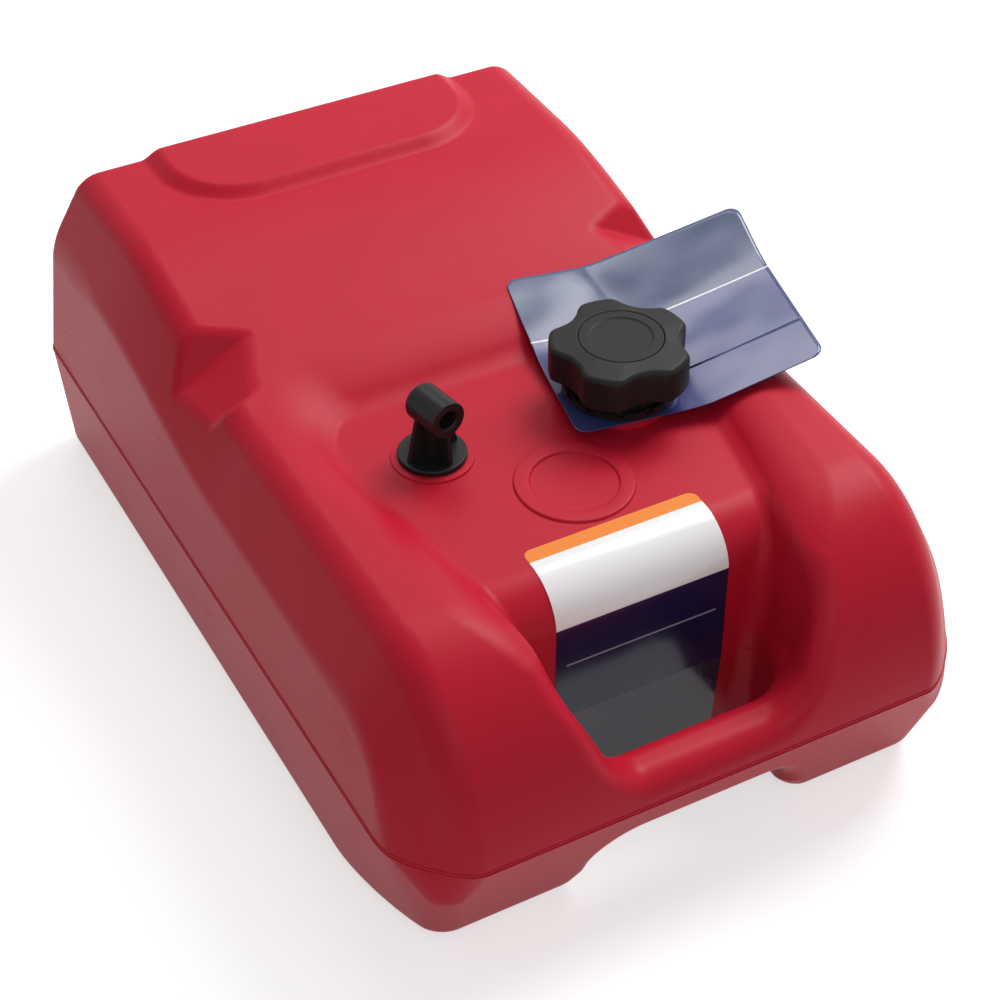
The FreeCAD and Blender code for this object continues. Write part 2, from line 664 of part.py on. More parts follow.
def at_cap(shape):
    shape.translate(V(CAP_X, CAP_Y, 0))
    return shape


def cap_gasket():
    low = LIP + GASKET_GAP
    return at_cap(ring(CORE_BORE - GASKET_CLEARANCE, THROAT_R, low, low + GASKET_THICKNESS))


def cap_core():
    """Threaded inner cup with the collar that shows below the knob."""
    body = cylinder(CORE_R, CAP_BASE, CORE_CROWN)
    collar = cylinder(COLLAR_R, CAP_BASE, CAP_BASE + COLLAR_THICKNESS)
    for i in range(COLLAR_SLOTS):
        half = COLLAR_SLOT_WIDTH / 2
        slot = block(COLLAR_R - COLLAR_SLOT_DEPTH, COLLAR_R + BITE, -half, half,
                     CAP_BASE + COLLAR_THICKNESS / 2, CAP_BASE + COLLAR_THICKNESS + BITE)
        slot.rotate(V(0, 0, 0), V(0, 0, 1), 360.0 * i / COLLAR_SLOTS)
        collar = collar.cut(slot)
    body = body.fuse(collar).cut(cylinder(CORE_BORE, CAP_BASE - BITE, CORE_CEILING))
    groove_low = KNOB_BASE + BEAD_RISE - KNOB_CLEARANCE
    groove_high = groove_low + BEAD_HEIGHT + 2 * KNOB_CLEARANCE
    body = body.cut(ring(CORE_R + BITE, KNOB_BORE - BEAD_DEPTH - KNOB_CLEARANCE, groove_low, groove_high))
    ridge = thread(CORE_BORE, -THREAD_DEPTH, THREAD_BASE, THREAD_CREST, THREAD_PITCH, THREAD_TURNS)
    ridge.translate(V(0, 0, FLOOR + THREAD_START + THREAD_PITCH / 2))
    body = body.fuse(ridge)
    body = body.cut(cylinder(VALVE_R, CORE_CEILING - BITE, CORE_CROWN + BITE))
    for i in range(PAWL_ARMS):
        peg = cylinder(PAWL_PEG_R, CORE_CROWN - PAWL_PEG_DEPTH, CORE_CROWN + BITE, PAWL_HUB_R)
        peg.rotate(V(0, 0, 0), V(0, 0, 1), 360.0 * i / PAWL_ARMS)
        body = body.cut(peg)
    return at_cap(body)


def pawl_ring():
    """Ratchet ring pegged to the core, with springy arms that reach for the knob's teeth."""
    hub = ring(PAWL_HUB_R + PAWL_HUB_WIDTH / 2, PAWL_HUB_R - PAWL_HUB_WIDTH / 2, CORE_CROWN,
               CORE_CROWN + PAWL_HEIGHT)
    tip_r = KNOB_BORE - RATCHET_ROOT - RATCHET_DEPTH - PAWL_CLEARANCE
    for i in range(PAWL_ARMS):
        turn = 360.0 * i / PAWL_ARMS
        start = V(PAWL_HUB_R, 0, 0)
        half = math.radians(PAWL_SWEEP / 2)
        full = math.radians(PAWL_SWEEP)
        middle_r = (PAWL_HUB_R + tip_r) / 2 + PAWL_HUB_WIDTH / 2
        middle = V(middle_r * math.cos(half), middle_r * math.sin(half), 0)
        end = V(tip_r * math.cos(full), tip_r * math.sin(full), 0)
        inner_middle = middle * ((middle_r - PAWL_WIDTH) / middle_r)
        inner_end = end * ((tip_r - PAWL_WIDTH) / tip_r)
        inner_start = start * ((PAWL_HUB_R - PAWL_HUB_WIDTH / 2) / PAWL_HUB_R)
        edges = [Part.Arc(start, middle, end).toShape(), Part.LineSegment(end, inner_end).toShape(),
                 Part.Arc(inner_end, inner_middle, inner_start).toShape(),
                 Part.LineSegment(inner_start, start).toShape()]
        arm = prism(Part.Wire(edges), V(0, 0, PAWL_HEIGHT))
        arm.translate(V(0, 0, CORE_CROWN))
        arm = arm.fuse(cylinder(PAWL_PEG_R, CORE_CROWN - PAWL_PEG_DEPTH, CORE_CROWN + BITE, PAWL_HUB_R))
        arm.rotate(V(0, 0, 0), V(0, 0, 1), turn)
        hub = hub.fuse(arm)
    return at_cap(hub.removeSplitter())


def ratchet_teeth():
    """Saw teeth inside the knob, just under its top."""
    outer = KNOB_BORE + BITE
    tip = KNOB_BORE - RATCHET_ROOT - RATCHET_DEPTH
    root = KNOB_BORE - RATCHET_ROOT
    points = []
    for i in range(RATCHET_TEETH):
        a = 2 * math.pi * i / RATCHET_TEETH
        points.append(V(tip * math.cos(a), tip * math.sin(a), 0))
        points.append(V(root * math.cos(a), root * math.sin(a), 0))
    bore = prism(Part.makePolygon(points + points[:1]), V(0, 0, RATCHET_HEIGHT))
    bore.translate(V(0, 0, KNOB_CEILING - RATCHET_HEIGHT))
    return cylinder(outer, KNOB_CEILING - RATCHET_HEIGHT, KNOB_CEILING).cut(bore)


def cap_knob():
    """Lobed grip that turns the core through the ratchet."""
    body = cylinder(CAP_R, KNOB_BASE, KNOB_CROWN)
    reach = CAP_R - FLUTE_DEPTH + FLUTE_R
    for i in range(CAP_LOBES):
        flute = cylinder(FLUTE_R, KNOB_BASE - BITE, KNOB_CROWN + BITE, reach)
        flute.rotate(V(0, 0, 0), V(0, 0, 1), FLUTE_TURN + 360.0 * i / CAP_LOBES)
        body = body.cut(flute)
    upright = [edge for edge in body.Edges if edge.BoundBox.ZLength > KNOB_HEIGHT - BITE]
    upright = [edge for edge in upright if edge.BoundBox.XLength < TOUCH]
    body = body.makeFillet(FLUTE_EDGE_R, upright)
    body = body.makeFillet(KNOB_EDGE_R, top_edges(body, KNOB_CROWN))
    body = body.cut(cylinder(KNOB_BORE, KNOB_BASE - BITE, KNOB_CEILING)).fuse(ratchet_teeth())
    bead_low = KNOB_BASE + BEAD_RISE
    body = body.fuse(ring(KNOB_BORE + BITE, KNOB_BORE - BEAD_DEPTH, bead_low, bead_low + BEAD_HEIGHT))
    body = body.cut(cylinder(PLUG_R + PLUG_GAP, KNOB_CROWN - PLUG_THICKNESS, KNOB_CROWN + BITE))
    body = body.cut(cylinder(PLUG_POST_R + PLUG_POST_CLEARANCE, KNOB_CEILING - BITE, KNOB_CROWN + BITE))
    return at_cap(body)


def cap_top_plug():
    """Blank disc let into the knob, slightly dished."""
    body = cylinder(PLUG_R, KNOB_CROWN - PLUG_THICKNESS, KNOB_CROWN)
    body = body.makeFillet(PLUG_EDGE_R, top_edges(body, KNOB_CROWN))
    dish = Part.makeCone(PLUG_DISH_R, PLUG_DISH_R + 2 * PLUG_DISH_DEPTH, PLUG_DISH_DEPTH,
                         V(0, 0, KNOB_CROWN - PLUG_DISH_DEPTH))
    post = cylinder(PLUG_POST_R, KNOB_CEILING, KNOB_CROWN - PLUG_THICKNESS)
    return at_cap(body.cut(dish).fuse(post))


# ---------- vacuum valve ----------

VALVE_LOW = CORE_CROWN - VALVE_DEPTH
SHELF_TOP = VALVE_LOW + SHELF_HEIGHT + SHELF_THICKNESS
VALVE_CROWN = CORE_CROWN + VALVE_FLANGE_THICKNESS
SPRING_SOLID = 2 * SPRING_WIRE_R * (SPRING_COILS + 1)
RETAINER_LOW = SHELF_TOP + SPRING_SOLID + POPPET_TRAVEL + SPRING_SPARE


def valve_body():
    body = cylinder(VALVE_R, VALVE_LOW, CORE_CROWN).fuse(cylinder(VALVE_FLANGE_R, CORE_CROWN, VALVE_CROWN))
    body = body.cut(cylinder(VALVE_BORE_R, VALVE_LOW - BITE, VALVE_CROWN + BITE))
    shelf = cylinder(VALVE_BORE_R + BITE, SHELF_TOP - SHELF_THICKNESS, SHELF_TOP)
    shelf = shelf.cut(cylinder(STEM_R + STEM_CLEARANCE, VALVE_LOW, VALVE_CROWN))
    for i in range(SHELF_HOLES):
        hole = cylinder(SHELF_HOLE_R, VALVE_LOW, VALVE_CROWN, SHELF_HOLE_RING_R)
        hole.rotate(V(0, 0, 0), V(0, 0, 1), 360.0 * i / SHELF_HOLES)
        shelf = shelf.cut(hole)
    return at_cap(body.fuse(shelf).removeSplitter())


def vacuum_poppet():
    top = VALVE_LOW - SEAL_GAP - SEAL_THICKNESS
    disc = cylinder(POPPET_R, top - POPPET_THICKNESS, top)
    stem = cylinder(STEM_R, top - POPPET_THICKNESS, RETAINER_LOW + RETAINER_THICKNESS)
    return at_cap(disc.fuse(stem).removeSplitter())


def poppet_seal():
    low = VALVE_LOW - SEAL_GAP - SEAL_THICKNESS
    return at_cap(ring(POPPET_R, STEM_R, low, low + SEAL_THICKNESS))


def spring_retainer():
    return at_cap(ring(RETAINER_R, STEM_R, RETAINER_LOW, RETAINER_LOW + RETAINER_THICKNESS))


def vacuum_spring():
    low = SHELF_TOP + SPRING_GAP + SPRING_WIRE_R
    height = RETAINER_LOW - SPRING_GAP - SPRING_WIRE_R - low
    helix = Part.makeHelix(height / SPRING_COILS, height, SPRING_R)
    section = Part.Wire(Part.makeCircle(SPRING_WIRE_R, V(SPRING_R, 0, 0), V(0, 1, 0)))
    coil = Part.Wire(helix).makePipeShell([section], True, True)
    coil.translate(V(0, 0, low))
    return at_cap(coil)


def vent_screen():
    body = cylinder(VALVE_FLANGE_R, VALVE_CROWN, VALVE_CROWN + SCREEN_THICKNESS)
    hole_ring_r = VALVE_BORE_R - SCREEN_HOLE_R
    for i in range(SCREEN_HOLES):
        hole = cylinder(SCREEN_HOLE_R, VALVE_CROWN, VALVE_CROWN + SCREEN_THICKNESS, hole_ring_r)
        hole.rotate(V(0, 0, 0), V(0, 0, 1), 360.0 * i / SCREEN_HOLES)
        body = body.cut(hole)
    return at_cap(body)


# ---------- outlet fitting ----------

def at_fitting(shape):
    shape.translate(V(FITTING_X, OUTLET_Y, 0))
    return shape


def rib(top_front, top_back, low, high):
    """Upright tapered plate, along Y."""
    points = [V(0, -RIB_HALF_WIDTH, low), V(0, RIB_HALF_WIDTH, low),
              V(0, top_back, high), V(0, -top_front, high)]
    plate = prism(Part.makePolygon(points + points[:1]), V(RIB_THICKNESS, 0, 0))
    plate.translate(V(-RIB_THICKNESS / 2, 0, 0))
    return plate


def outlet_fitting():
    low = STEM_TOP
    top = low + FLANGE_THICKNESS - PORT_GASKET_THICKNESS
    axis = low + BARREL_HEIGHT
    flange = cylinder(FLANGE_R, SEAT, top)
    flange = flange.makeFillet(FLANGE_EDGE_R, top_edges(flange, top))
    flange = flange.cut(cylinder(FLANGE_R - FLANGE_LIP, SEAT - BITE, low))
    stem = cylinder(STEM_OUTER_R, FLOOR - PORT_DEPTH, low + BITE)
    column = cylinder(COLUMN_R, low, axis)
    barrel = Part.makeCylinder(BARREL_R, BARREL_FRONT + BARREL_BACK, V(0, BARREL_BACK, axis), V(0, -1, 0))
    barrel = barrel.makeFillet(BARREL_EDGE_R, [nearest_edge(barrel, V(0, BARREL_BACK, axis + BARREL_R))])
    barrel = barrel.makeFillet(BARREL_FACE_R, [nearest_edge(barrel, V(0, -BARREL_FRONT, axis + BARREL_R))])
    lengthwise = rib(BARREL_FRONT - RIB_INSET, BARREL_BACK - RIB_INSET, top - BITE / 2, axis)
    crosswise = rib(BARREL_R - RIB_INSET, BARREL_R - RIB_INSET, top - BITE / 2, axis)
    crosswise.rotate(V(0, 0, 0), V(0, 0, 1), 90)
    body = flange.fuse(stem).fuse(column).fuse(barrel).fuse(lengthwise).fuse(crosswise)
    bore = Part.makeCylinder(PIPE_MINOR_R, PIPE_DEPTH, V(0, -BARREL_FRONT, axis), V(0, 1, 0))
    groove = thread(PIPE_MINOR_R, PIPE_THREAD_DEPTH, PIPE_GROOVE, PIPE_ROOT, PIPE_PITCH, PIPE_THREAD_TURNS)
    groove.rotate(V(0, 0, 0), V(1, 0, 0), -90)
    groove.translate(V(0, -BARREL_FRONT, axis))
    mouth = Part.makeCone(PIPE_MINOR_R + PIPE_THREAD_DEPTH, PIPE_MINOR_R, PIPE_THREAD_DEPTH,
                          V(0, -BARREL_FRONT, axis), V(0, 1, 0))
    way = cylinder(FUEL_WAY_R, FLOOR - PORT_DEPTH - BITE, axis)
    socket = cylinder(TUBE_R + TUBE_CLEARANCE, FLOOR - PORT_DEPTH - BITE, FLOOR - PORT_DEPTH + TUBE_SOCKET)
    body = body.cut(bore).cut(groove).cut(mouth).cut(way).cut(socket)
    body.rotate(V(0, 0, 0), V(0, 0, 1), BARREL_YAW)
    return at_fitting(body)


def port_gasket():
    return at_fitting(ring(PORT_GASKET_R, STEM_OUTER_R, SEAT, STEM_TOP))


def pickup_tube():
    top = FLOOR - PORT_DEPTH + TUBE_SOCKET
    return at_fitting(ring(TUBE_R, TUBE_R - TUBE_WALL, TUBE_LOW, top))


def pickup_strainer():
    """Slotted cup on the tube's open end."""
    low = TUBE_LOW - STRAINER_DROP
    high = TUBE_LOW + STRAINER_RISE
    body = cylinder(STRAINER_R, low, high)
    body = body.cut(cylinder(STRAINER_R - STRAINER_WALL, low + STRAINER_CAP, high - STRAINER_CAP))
    body = body.cut(cylinder(TUBE_R + TUBE_CLEARANCE, TUBE_LOW, high + BITE))
    half = STRAINER_SLOT_WIDTH / 2
    for i in range(STRAINER_SLOTS):
        slot = block(0, STRAINER_R + BITE, -half, half, low + STRAINER_CAP + BITE, high - STRAINER_CAP - BITE)
        slot.rotate(V(0, 0, 0), V(0, 0, 1), 360.0 * i / STRAINER_SLOTS)
        body = body.cut(slot)
    return at_fitting(body)


def strainer_mesh():
    low = TUBE_LOW - STRAINER_DROP + STRAINER_CAP
    high = TUBE_LOW + STRAINER_RISE - STRAINER_CAP
    outer = STRAINER_R - STRAINER_WALL - MESH_GAP
    return at_fitting(ring(outer, outer - MESH_THICKNESS, low, high))


# ---------- label and card ----------

def front_label():
    """Thin film on the well floor, round the roll-over and down the wall behind the bar."""
    start = FRONT + LABEL_SETBACK
    roll_start = GRIP_WALL + GRIP_ROLL_R
    floor = well_height(roll_start)
    low_wall = GRIP_WALL + (SEAM_HEIGHT - LABEL_LOW) * tan(HOLE_WALL_DRAFT)
    edges = []
    ends = []
    share = math.sqrt(0.5)
    for lift in (0.0, LABEL_THICKNESS):
        radius = GRIP_ROLL_R + lift
        centre = V(0, roll_start, floor - GRIP_ROLL_R)
        points = [V(0, start, well_height(start) + lift), V(0, roll_start, floor + lift),
                  centre + V(0, -radius * share, radius * share), V(0, GRIP_WALL - lift, centre.z),
                  V(0, GRIP_WALL - lift, SEAM_HEIGHT), V(0, low_wall - lift, LABEL_LOW)]
        edges += [Part.LineSegment(points[0], points[1]).toShape(),
                  Part.Arc(points[1], points[2], points[3]).toShape(),
                  Part.LineSegment(points[3], points[4]).toShape(),
                  Part.LineSegment(points[4], points[5]).toShape()]
        ends.append((points[0], points[5]))
    for i in range(2):
        edges.append(Part.LineSegment(ends[0][i], ends[1][i]).toShape())
    film = prism(Part.Wire(Part.__sortEdges__(edges)), V(LABEL_WIDTH, 0, 0))
    film.translate(V(-LABEL_WIDTH / 2, 0, 0))
    half = LABEL_WIDTH / 2
    corners = [V(half, start - BODY_LENGTH / 4, 0), V(half, start, 0), V(-half, start, 0),
               V(-half, start - BODY_LENGTH / 4, 0)]
    trim = prism(rounded_wire(corners, [0, LABEL_CORNER_R, LABEL_CORNER_R, 0]), V(0, 0, DECK_HEIGHT))
    return film.common(trim)


def bend(distance):
    """Run past a soft bend, where the sheet turns up."""
    return (distance + math.sqrt(distance ** 2 + CARD_SOFTNESS ** 2)) / 2


def deck_climb():
    """Slope of the card behind the neck, which takes it over the well's back edge."""
    edge = WELL_BACK + (deck_height(WELL_BACK) - WELL_FLOOR) * WELL_FLARE * WELL_BACK_FLARE
    rise = deck_height(edge) + CARD_EDGE_GAP - FLOOR - CARD_HEIGHT
    return rise / bend(edge - CAP_Y - CARD_DECK_BEND)


def rail_climb():
    """Slope of the card beside the neck, which takes it over the well's side edge."""
    front = CAP_Y + CARD_SHIFT_Y - CARD_DEPTH / 2
    share = (front - GRIP_WALL) / (WELL_BACK - WELL_STRAIGHT - GRIP_WALL)
    half = GRIP_TOP_HALF_WIDTH + (WELL_HALF_WIDTH - GRIP_TOP_HALF_WIDTH) * share
    edge = half + (RAIL_HEIGHT - well_height(front)) * WELL_FLARE
    rise = RAIL_HEIGHT + CARD_EDGE_GAP - FLOOR - CARD_HEIGHT
    return rise / bend(edge - CAP_X - CARD_RAIL_BEND)


def card_height(x, y):
    height = FLOOR + CARD_HEIGHT + deck_climb() * bend(y - CAP_Y - CARD_DECK_BEND)
    return height + rail_climb() * bend(x - CAP_X - CARD_RAIL_BEND)


def neck_card():
    """Care card slipped over the neck, lying on the well, the deck's edge and the side rail."""
    middle_x = CAP_X + CARD_SHIFT_X
    middle_y = CAP_Y + CARD_SHIFT_Y
    reach = math.hypot(CARD_WIDTH, CARD_DEPTH) / 2 + BITE
    steps = 16
    rows = []
    for i in range(steps + 1):
        x = middle_x - reach + 2 * reach * i / steps
        column = []
        for j in range(steps + 1):
            y = middle_y - reach + 2 * reach * j / steps
            column.append(V(x, y, card_height(x, y)))
        rows.append(column)
    surface = Part.BSplineSurface()
    surface.interpolate(rows)
    slab = surface.toShape().extrude(V(0, 0, CARD_THICKNESS))
    half_x = CARD_WIDTH / 2
    half_y = CARD_DEPTH / 2
    corners = [V(-half_x, -half_y, 0), V(half_x, -half_y, 0), V(half_x, half_y, 0), V(-half_x, half_y, 0)]
    blank = prism(rounded_wire(corners, [CARD_CORNER_R] * 4), V(0, 0, DECK_HEIGHT + BODY_WIDTH))
    blank.rotate(V(0, 0, 0), V(0, 0, 1), CARD_TURN)
    blank.translate(V(middle_x, middle_y, 0))
    hole = cylinder(THREAD_R + CARD_HOLE_CLEARANCE, 0, DECK_HEIGHT + BODY_WIDTH, CAP_X, CAP_Y)
    slit = [V(0, -CARD_SLIT / 2, 0), V(CARD_WIDTH, 0, 0), V(0, CARD_SLIT / 2, 0)]
    wedge = prism(Part.makePolygon(slit + slit[:1]), V(0, 0, DECK_HEIGHT + BODY_WIDTH))
    wedge.translate(V(CAP_X, CAP_Y, 0))
    return slab.common(blank).cut(hole).cut(wedge)


if __name__ == "__main__":
    export(tank_shell(), "tank_shell")
    export(outlet_fitting(), "outlet_fitting")
    export(port_gasket(), "port_gasket")
    export(pickup_tube(), "pickup_tube")
    export(pickup_strainer(), "pickup_strainer")
    export(strainer_mesh(), "strainer_mesh")
    export(front_label(), "front_label")
    export(neck_card(), "neck_card")
    export(cap_gasket(), "cap_gasket")
    export(cap_core(), "cap_core")
    export(pawl_ring(), "ratchet_pawl_ring")
    export(cap_knob(), "cap_knob")
    export(cap_top_plug(), "cap_top_plug")
    export(valve_body(), "valve_body")
    export(vacuum_poppet(), "vacuum_poppet")
    export(poppet_seal(), "poppet_seal")
    export(spring_retainer(), "spring_retainer")
    export(vacuum_spring(), "vacuum_spring")
    export(vent_screen(), "vent_screen")
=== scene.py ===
import bpy
import math
import numpy as np
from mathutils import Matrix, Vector


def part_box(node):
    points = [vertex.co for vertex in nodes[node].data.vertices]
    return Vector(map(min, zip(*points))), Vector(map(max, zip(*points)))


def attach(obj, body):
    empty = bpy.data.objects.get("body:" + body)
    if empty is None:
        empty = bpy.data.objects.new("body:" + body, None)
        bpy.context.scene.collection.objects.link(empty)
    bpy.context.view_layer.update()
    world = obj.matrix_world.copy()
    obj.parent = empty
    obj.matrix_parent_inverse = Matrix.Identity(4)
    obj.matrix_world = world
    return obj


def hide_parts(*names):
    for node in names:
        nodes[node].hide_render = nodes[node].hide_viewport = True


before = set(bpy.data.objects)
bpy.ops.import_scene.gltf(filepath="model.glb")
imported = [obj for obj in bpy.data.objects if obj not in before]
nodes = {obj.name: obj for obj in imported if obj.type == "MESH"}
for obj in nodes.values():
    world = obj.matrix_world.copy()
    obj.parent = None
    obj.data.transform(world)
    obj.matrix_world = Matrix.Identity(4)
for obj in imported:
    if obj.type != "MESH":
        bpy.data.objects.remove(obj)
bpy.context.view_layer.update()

tankLow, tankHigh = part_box("tank_shell")
coreLow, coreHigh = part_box("cap_core")
capX = (coreLow.x + coreHigh.x) / 2
capY = (coreLow.y + coreHigh.y) / 2
portLow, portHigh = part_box("port_gasket")
portX = (portLow.x + portHigh.x) / 2
portY = (portLow.y + portHigh.y) / 2

# The shell, its parting bead, seats, neck and thread, the cap's grip and the card are made here.
# The other pieces are the frame's own and only get a finish.

meshing = {"slopeStep": 0.05, "leastSlope": 0.05, "firstRounds": 4, "passes": 3, "relax": 0.6, "rounds": 2,
           "cell": 0.0021, "keep": 0.52}

# A form is a function of x, y and z that is negative inside it, about a distance in metres.


def softMax(a, b, radius):  # where both are negative, with the edge rounded
    u = np.maximum(a + radius, 0)
    v = np.maximum(b + radius, 0)
    return np.minimum(np.maximum(a, b), -radius) + np.hypot(u, v)


def easeStep(t):
    t = np.clip(t, 0, 1)
    return t * t * (3 - 2 * t)


def softBend(distance, softness):  # nothing before the bend, the distance past it
    return (distance + np.sqrt(distance ** 2 + softness ** 2)) / 2


def tangent(degrees):
    return math.tan(math.radians(degrees))


def slopeOf(form, points, step):
    x, y, z = points.T
    columns = [form(x + step, y, z) - form(x - step, y, z),
               form(x, y + step, z) - form(x, y - step, z),
               form(x, y, z + step) - form(x, y, z - step)]
    return np.stack(columns, 1) / (2 * step)


def toSurface(form, points, cell, rounds):  # moves points on to the form's surface
    for _ in range(rounds):
        slope = slopeOf(form, points, cell * meshing["slopeStep"])
        size = np.maximum((slope ** 2).sum(1), meshing["leastSlope"])
        step = -slope * (form(*points.T) / size)[:, None]
        length = np.maximum(np.linalg.norm(step, axis=1), 1e-12)
        points = points + step * np.minimum(1, cell / length)[:, None]
    return points


def netOf(form, low, high, cell):  # quads round every grid cell that the surface crosses
    low = np.array(low) - cell
    counts = np.ceil((np.array(high) + cell - low) / cell).astype(int) + 1
    xs, ys, zs = [low[i] + cell * np.arange(counts[i]) for i in range(3)]
    y, z = np.meshgrid(ys, zs, indexing="ij")
    inside = np.stack([form(np.full_like(y, x), y, z) < 0 for x in xs])
    total = np.zeros([n - 1 for n in counts], int)
    for i in (0, 1):
        for j in (0, 1):
            for k in (0, 1):
                total += inside[i:counts[0] - 1 + i, j:counts[1] - 1 + j, k:counts[2] - 1 + k]
    crossed = (total > 0) & (total < 8)
    number = np.full(crossed.shape, -1)
    number[crossed] = np.arange(crossed.sum())
    points = low + cell * (np.argwhere(crossed) + 0.5)
    quads = []
    for axis in range(3):
        one, two = [a for a in range(3) if a != axis]
        before = np.take(inside, range(counts[axis] - 1), axis)
        after = np.take(inside, range(1, counts[axis]), axis)
        for flip, found in ((axis == 1, before & ~after), (axis != 1, ~before & after)):
            spot = np.argwhere(found)
            spot = spot[(spot[:, one] > 0) & (spot[:, two] > 0)]
            corners = []
            for a, b in ((1, 1), (0, 1), (0, 0), (1, 0)):
                cellAt = spot.copy()
                cellAt[:, one] -= a
                cellAt[:, two] -= b
                corners.append(number[tuple(cellAt.T)])
            quad = np.stack(corners, 1)
            quads.append(quad[:, ::-1] if flip else quad)
    return points, np.concatenate(quads)


def relaxed(points, quads, share):  # moves points towards the middle of their neighbours
    total = np.zeros_like(points)
    count = np.zeros(len(points))
    for i in range(4):
        for j in (1, 3):
            np.add.at(total, quads[:, i], points[quads[:, (i + j) % 4]])
            np.add.at(count, quads[:, i], 1)
    return points + share * (total / np.maximum(count, 1)[:, None] - points)


def meshPiece(name, points, faces, smooth=True, edges=()):
    mesh = bpy.data.meshes.new(name)
    mesh.from_pydata([tuple(p) for p in points], edges, [tuple(f) for f in faces])
    mesh.update()
    if smooth:
        mesh.polygons.foreach_set("use_smooth", [True] * len(mesh.polygons))
    piece = bpy.data.objects.new(name, mesh)
    bpy.context.scene.collection.objects.link(piece)
    return piece


def settle(piece):  # applies the modifiers
    bpy.context.view_layer.update()
    ready = piece.evaluated_get(bpy.context.evaluated_depsgraph_get())
    mesh = bpy.data.meshes.new_from_object(ready)
    piece.modifiers.clear()
    old = piece.data
    piece.data = mesh
    bpy.data.meshes.remove(old)
    mesh.name = piece.name


def vertexArray(mesh):
    flat = np.zeros(len(mesh.vertices) * 3)
    mesh.vertices.foreach_get("co", flat)
    return flat.reshape(-1, 3)


def carve(name, form, low, high):  # a smooth mesh with the form's own normals
    cell = meshing["cell"]
    points, quads = netOf(form, low, high, cell)
    points = toSurface(form, points, cell, meshing["firstRounds"])
    for _ in range(meshing["passes"]):
        points = toSurface(form, relaxed(points, quads, meshing["relax"]), cell, meshing["rounds"])
    piece = meshPiece(name, points, quads)
    thinner = piece.modifiers.new("thinner", "DECIMATE")
    thinner.ratio = meshing["keep"]
    settle(piece)
    mesh = piece.data
    mesh.polygons.foreach_set("use_smooth", [True] * len(mesh.polygons))
    normals = slopeOf(form, vertexArray(mesh), cell * meshing["slopeStep"])
    normals /= np.maximum(np.linalg.norm(normals, axis=1), 1e-9)[:, None]
    mesh.normals_split_custom_set_from_vertices(normals.tolist())
    return piece


shell = {
    "seamHeight": 0.0727, "padRise": 0.006, "railDrop": 0.0271,
    "deckLength": 0.095, "slopeLength": 0.178, "noseLength": 0.088,
    "sideDraft": 4.2, "backDraft": 9.2, "lowerDraft": 2.0, "frontRake": 0.026,
    "cutSide": 0.041, "cutFront": 0.016, "footCutSide": 0.044, "footCutFront": 0.022,
    "backCornerR": 0.006, "footBackR": 0.022, "footCornerR": 0.0185, "bevelR": 0.006,
    "baseEdgeR": 0.0125,
    "ridgeHalfWidth": 0.1455, "chamferDeck": 0.50, "chamferRail": 0.57, "chamferFade": 0.113,
    "ridgeR": 0.010, "ridgeNoseR": 0.011, "chamferR": 0.0012, "noseEdgeR": 0.0016, "topBackR": 0.004,
    "beadRoom": 0.0004, "padHalfWidth": 0.106, "padLength": 0.097, "padCornerR": 0.052, "padEdge": 0.013,
    "padShift": 0.1, "noseBlendFrom": 0.10, "noseBlend": 0.16, "backBlendFrom": 0.10, "backBlend": 0.04,
}
well = {
    "depth": 0.0121, "fall": 1.3, "setback": 0.266, "halfWidth": 0.105, "straight": 0.050,
    "flare": 1.30, "backFlare": 1.56, "cornerR": 0.040, "creaseR": 0.005, "rimR": 0.009,
    "noseRimR": 0.0035, "gripWall": 0.0782, "rollR": 0.027, "gripHalfWidth": 0.078,
    "gripNarrowing": 0.094, "rootNarrowing": 0.26,
    "gripFlare": 0.85, "waist": 0.020, "floorBlend": 0.004, "tiltBlend": 0.006, "frontReach": 0.04,
    "rootBlendFrom": 0.012, "rootBlend": 0.03, "creaseTop": 0.160, "creaseBlend": 0.040,
    "noseRimFrom": 0.06, "noseRimBlend": 0.10,
}
bar = {
    "depth": 0.032, "top": 0.091, "underside": 0.043, "edgeR": 0.0125, "rootR": 0.020,
    "holeFront": 0.062, "holeFlare": 0.238, "holeDraft": 4.8,
    "archHalfWidth": 0.0425, "archFlare": 0.68, "cornerR": 0.013, "topBlend": 0.008,
}
notch = {"setback": 0.218, "halfWidth": 0.0202, "angle": 29.5, "depth": 0.0145, "flare": 0.85,
         "creaseR": 0.0015, "rimR": 0.0028}

halfWidth = tankHigh.x
front, back = tankLow.y, tankHigh.y
seam = shell["seamHeight"]
deck = tankHigh.z - shell["padRise"]
rail = deck - shell["railDrop"]
deckFront = back - shell["deckLength"]
railBack = deckFront - shell["slopeLength"]
noseBack = front + shell["noseLength"]
noseReach = shell["noseLength"] - shell["beadRoom"]
wellBack = back - well["setback"]
gripWall = front + well["gripWall"]
barBack = front + bar["depth"]


def deckHeight(y):
    t = np.clip((y - railBack) / shell["slopeLength"], 0, 1)
    return rail + (deck - rail) * t * t * (3 - 2 * t)


def wellFloor(y):
    return rail - well["depth"] - (wellBack - y) * tangent(well["fall"])


def padHeight(x, y):
    edge = softMax(np.abs(x) - shell["padHalfWidth"], back - shell["padLength"] - y, shell["padCornerR"])
    return shell["padRise"] * easeStep(shell["padShift"] - edge / shell["padEdge"])


